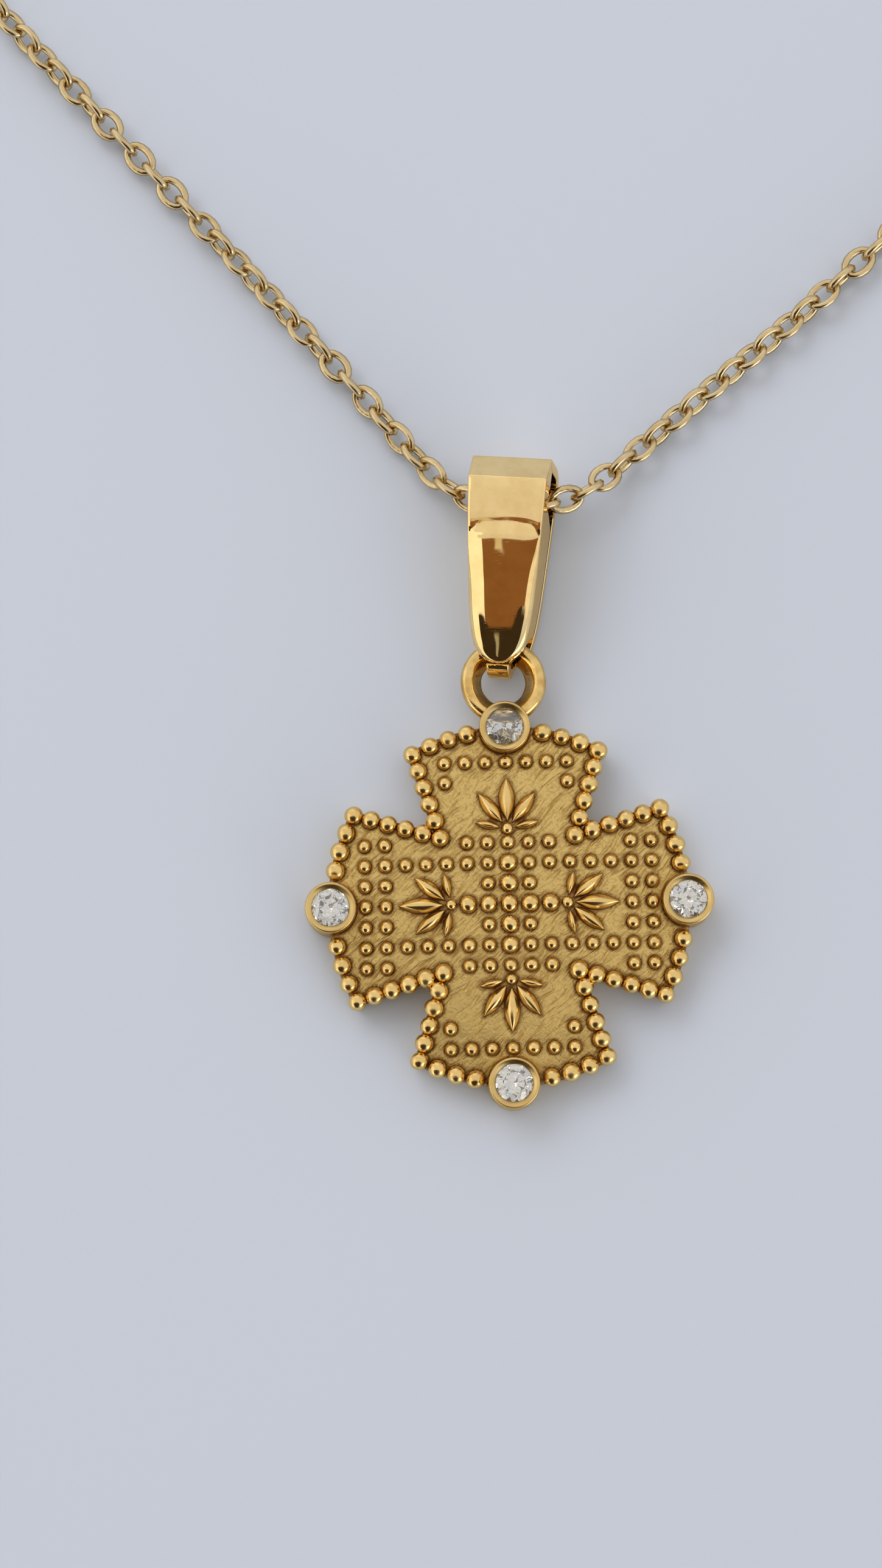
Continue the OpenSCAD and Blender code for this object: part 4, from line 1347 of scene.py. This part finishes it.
def make_world(stage):
    """Soft light all round, with the patches overhead that polished gold mirrors."""
    world = bpy.data.worlds.new("Soft light")
    world.use_nodes = True
    bpy.context.scene.world = world
    tree = world.node_tree
    tree.nodes.clear()
    way = put(tree, "ShaderNodeTexCoord").outputs["Generated"]
    height = put(tree, "ShaderNodeSeparateXYZ", (way,)).outputs[2]
    up = calc(tree, "MAXIMUM", height, 0.01)
    turn = put(tree, "ShaderNodeMapping", (way,), Rotation=(0, 0, PATCH_TURN)).outputs[0]
    parts = put(tree, "ShaderNodeSeparateXYZ", (turn,)).outputs
    x = calc(tree, "DIVIDE", parts[0], up)
    # Divided by the distance along x, so that the bail's bowed front mirrors the boxes' sides as straight
    aside = calc(tree, "SQRT", calc(tree, "ADD", calc(tree, "MULTIPLY", x, x), 1.0))
    y = calc(tree, "DIVIDE", parts[1], calc(tree, "MULTIPLY", up, aside))
    depth = calc(tree, "MAXIMUM", calc(tree, "SUBTRACT", DARK_FROM, y), 0.0)
    spread = calc(tree, "DIVIDE", x, calc(tree, "ADD", calc(tree, "MULTIPLY", depth, DARK_SPREAD), 1.0))
    low, high = ([c * part for c in stage.sky] for part in (SKY_LOW, SKY_HIGH))
    colour = blend(tree, fade(tree, height, 0.0, 0.8), low, high)
    for direction, full, end, shade in LIGHT_PATCHES:
        near = vector_calc(tree, "DOT_PRODUCT", way, tuple(Vector(direction).normalized()))
        colour = blend(tree, fade(tree, near, end, full), colour, shade)
    above = fade(tree, height, 0.02, 0.05)
    for patch in PATCHES:
        box, soft, shade = patch
        mask = box_mask(tree, spread if patch is DARK_FIELD else x, y, *box, soft)
        colour = blend(tree, calc(tree, "MULTIPLY", mask, above), colour, shade)
    seen = put(tree, "ShaderNodeLightPath").outputs["Is Camera Ray"]
    light = put(tree, "ShaderNodeBackground", (blend(tree, seen, colour, BACKDROP), stage.strength))
    output = put(tree, "ShaderNodeOutputWorld")
    tree.links.new(light.outputs[0], output.inputs[0])


def make_floor():
    r = FLOOR_REACH
    corners = [(x, y, FLOOR_Z) for x, y in ((-r, -r), (r, -r), (r, r), (-r, r))]
    new_piece("floor", corners, [(0, 1, 2, 3)], "Pale floor")


def make_window():
    """Soft light from a window to the left, seen in no mirror."""
    data = bpy.data.lights.new("Soft window", "AREA")
    data.shape = "RECTANGLE"
    data.size, data.size_y = WINDOW_SIZE
    data.energy, data.color = WINDOW_POWER, WINDOW_COLOUR
    window = bpy.data.objects.new("Soft window", data)
    spot = Vector(WINDOW_AT)
    window.location = spot
    window.rotation_euler = (-spot).to_track_quat("-Z", "Y").to_euler()
    window.visible_glossy = False
    bpy.context.scene.collection.objects.link(window)


def make_camera():
    lens = bpy.data.cameras.new("Camera")
    lens.sensor_fit, lens.sensor_height = "VERTICAL", SENSOR
    lens.lens = FOCAL_PX / FRAME_PX * SENSOR
    lens.clip_start, lens.clip_end = 0.001, 10.0
    camera = bpy.data.objects.new("Camera", lens)
    back = -Vector(CAMERA_DIRECTION).normalized()
    right = Vector(CAMERA_UP).cross(back).normalized()
    turn = Matrix((right, back.cross(right), back)).transposed()
    camera.matrix_world = Matrix.Translation(Vector(CAMERA_AT) * MM) @ turn.to_4x4()
    bpy.context.scene.collection.objects.link(camera)
    bpy.context.scene.camera = camera


class NECKLACE_OT_stage(bpy.types.Operator):
    """Build the floor, the soft light and the camera"""
    bl_idname = "necklace.stage"
    bl_label = "Floor, light and camera"

    def execute(self, context):
        make_world(context.scene.necklace_stage)
        make_floor()
        make_window()
        make_camera()
        context.scene.view_settings.view_transform = "Standard"
        return {"FINISHED"}


# Add-on parts

OPERATORS = (NECKLACE_OT_materials, NECKLACE_OT_stage, NECKLACE_OT_cross, NECKLACE_OT_stones,
             NECKLACE_OT_bail, NECKLACE_OT_chain, NECKLACE_OT_clasp)


class NECKLACE_PT_panel(bpy.types.Panel):
    """Sizes, finishes and the steps that build the necklace"""
    bl_idname = "NECKLACE_PT_panel"
    bl_label = "Cross Necklace"
    bl_space_type = "VIEW_3D"
    bl_region_type = "UI"
    bl_category = "Necklace"

    def draw(self, context):
        for name, kind in GROUPS.items():
            box = self.layout.box()
            for key in kind.__annotations__:
                box.prop(getattr(context.scene, name), key)
        for operator in OPERATORS:
            self.layout.operator(operator.bl_idname)


def register():
    for kind in (*GROUPS.values(), *OPERATORS, NECKLACE_PT_panel):
        bpy.utils.register_class(kind)
    for name, kind in GROUPS.items():
        setattr(bpy.types.Scene, name, PointerProperty(type=kind))


def unregister():
    for name in GROUPS:
        delattr(bpy.types.Scene, name)
    for kind in (NECKLACE_PT_panel, *reversed(OPERATORS), *reversed(GROUPS.values())):
        bpy.utils.unregister_class(kind)


def main():
    register()
    bpy.ops.necklace.materials()
    bpy.ops.necklace.stage()
    bpy.ops.necklace.cross()
    bpy.ops.necklace.stones()
    bpy.ops.necklace.bail()
    bpy.ops.necklace.chain()
    bpy.ops.necklace.clasp()


if __name__ == "__main__":
    main()
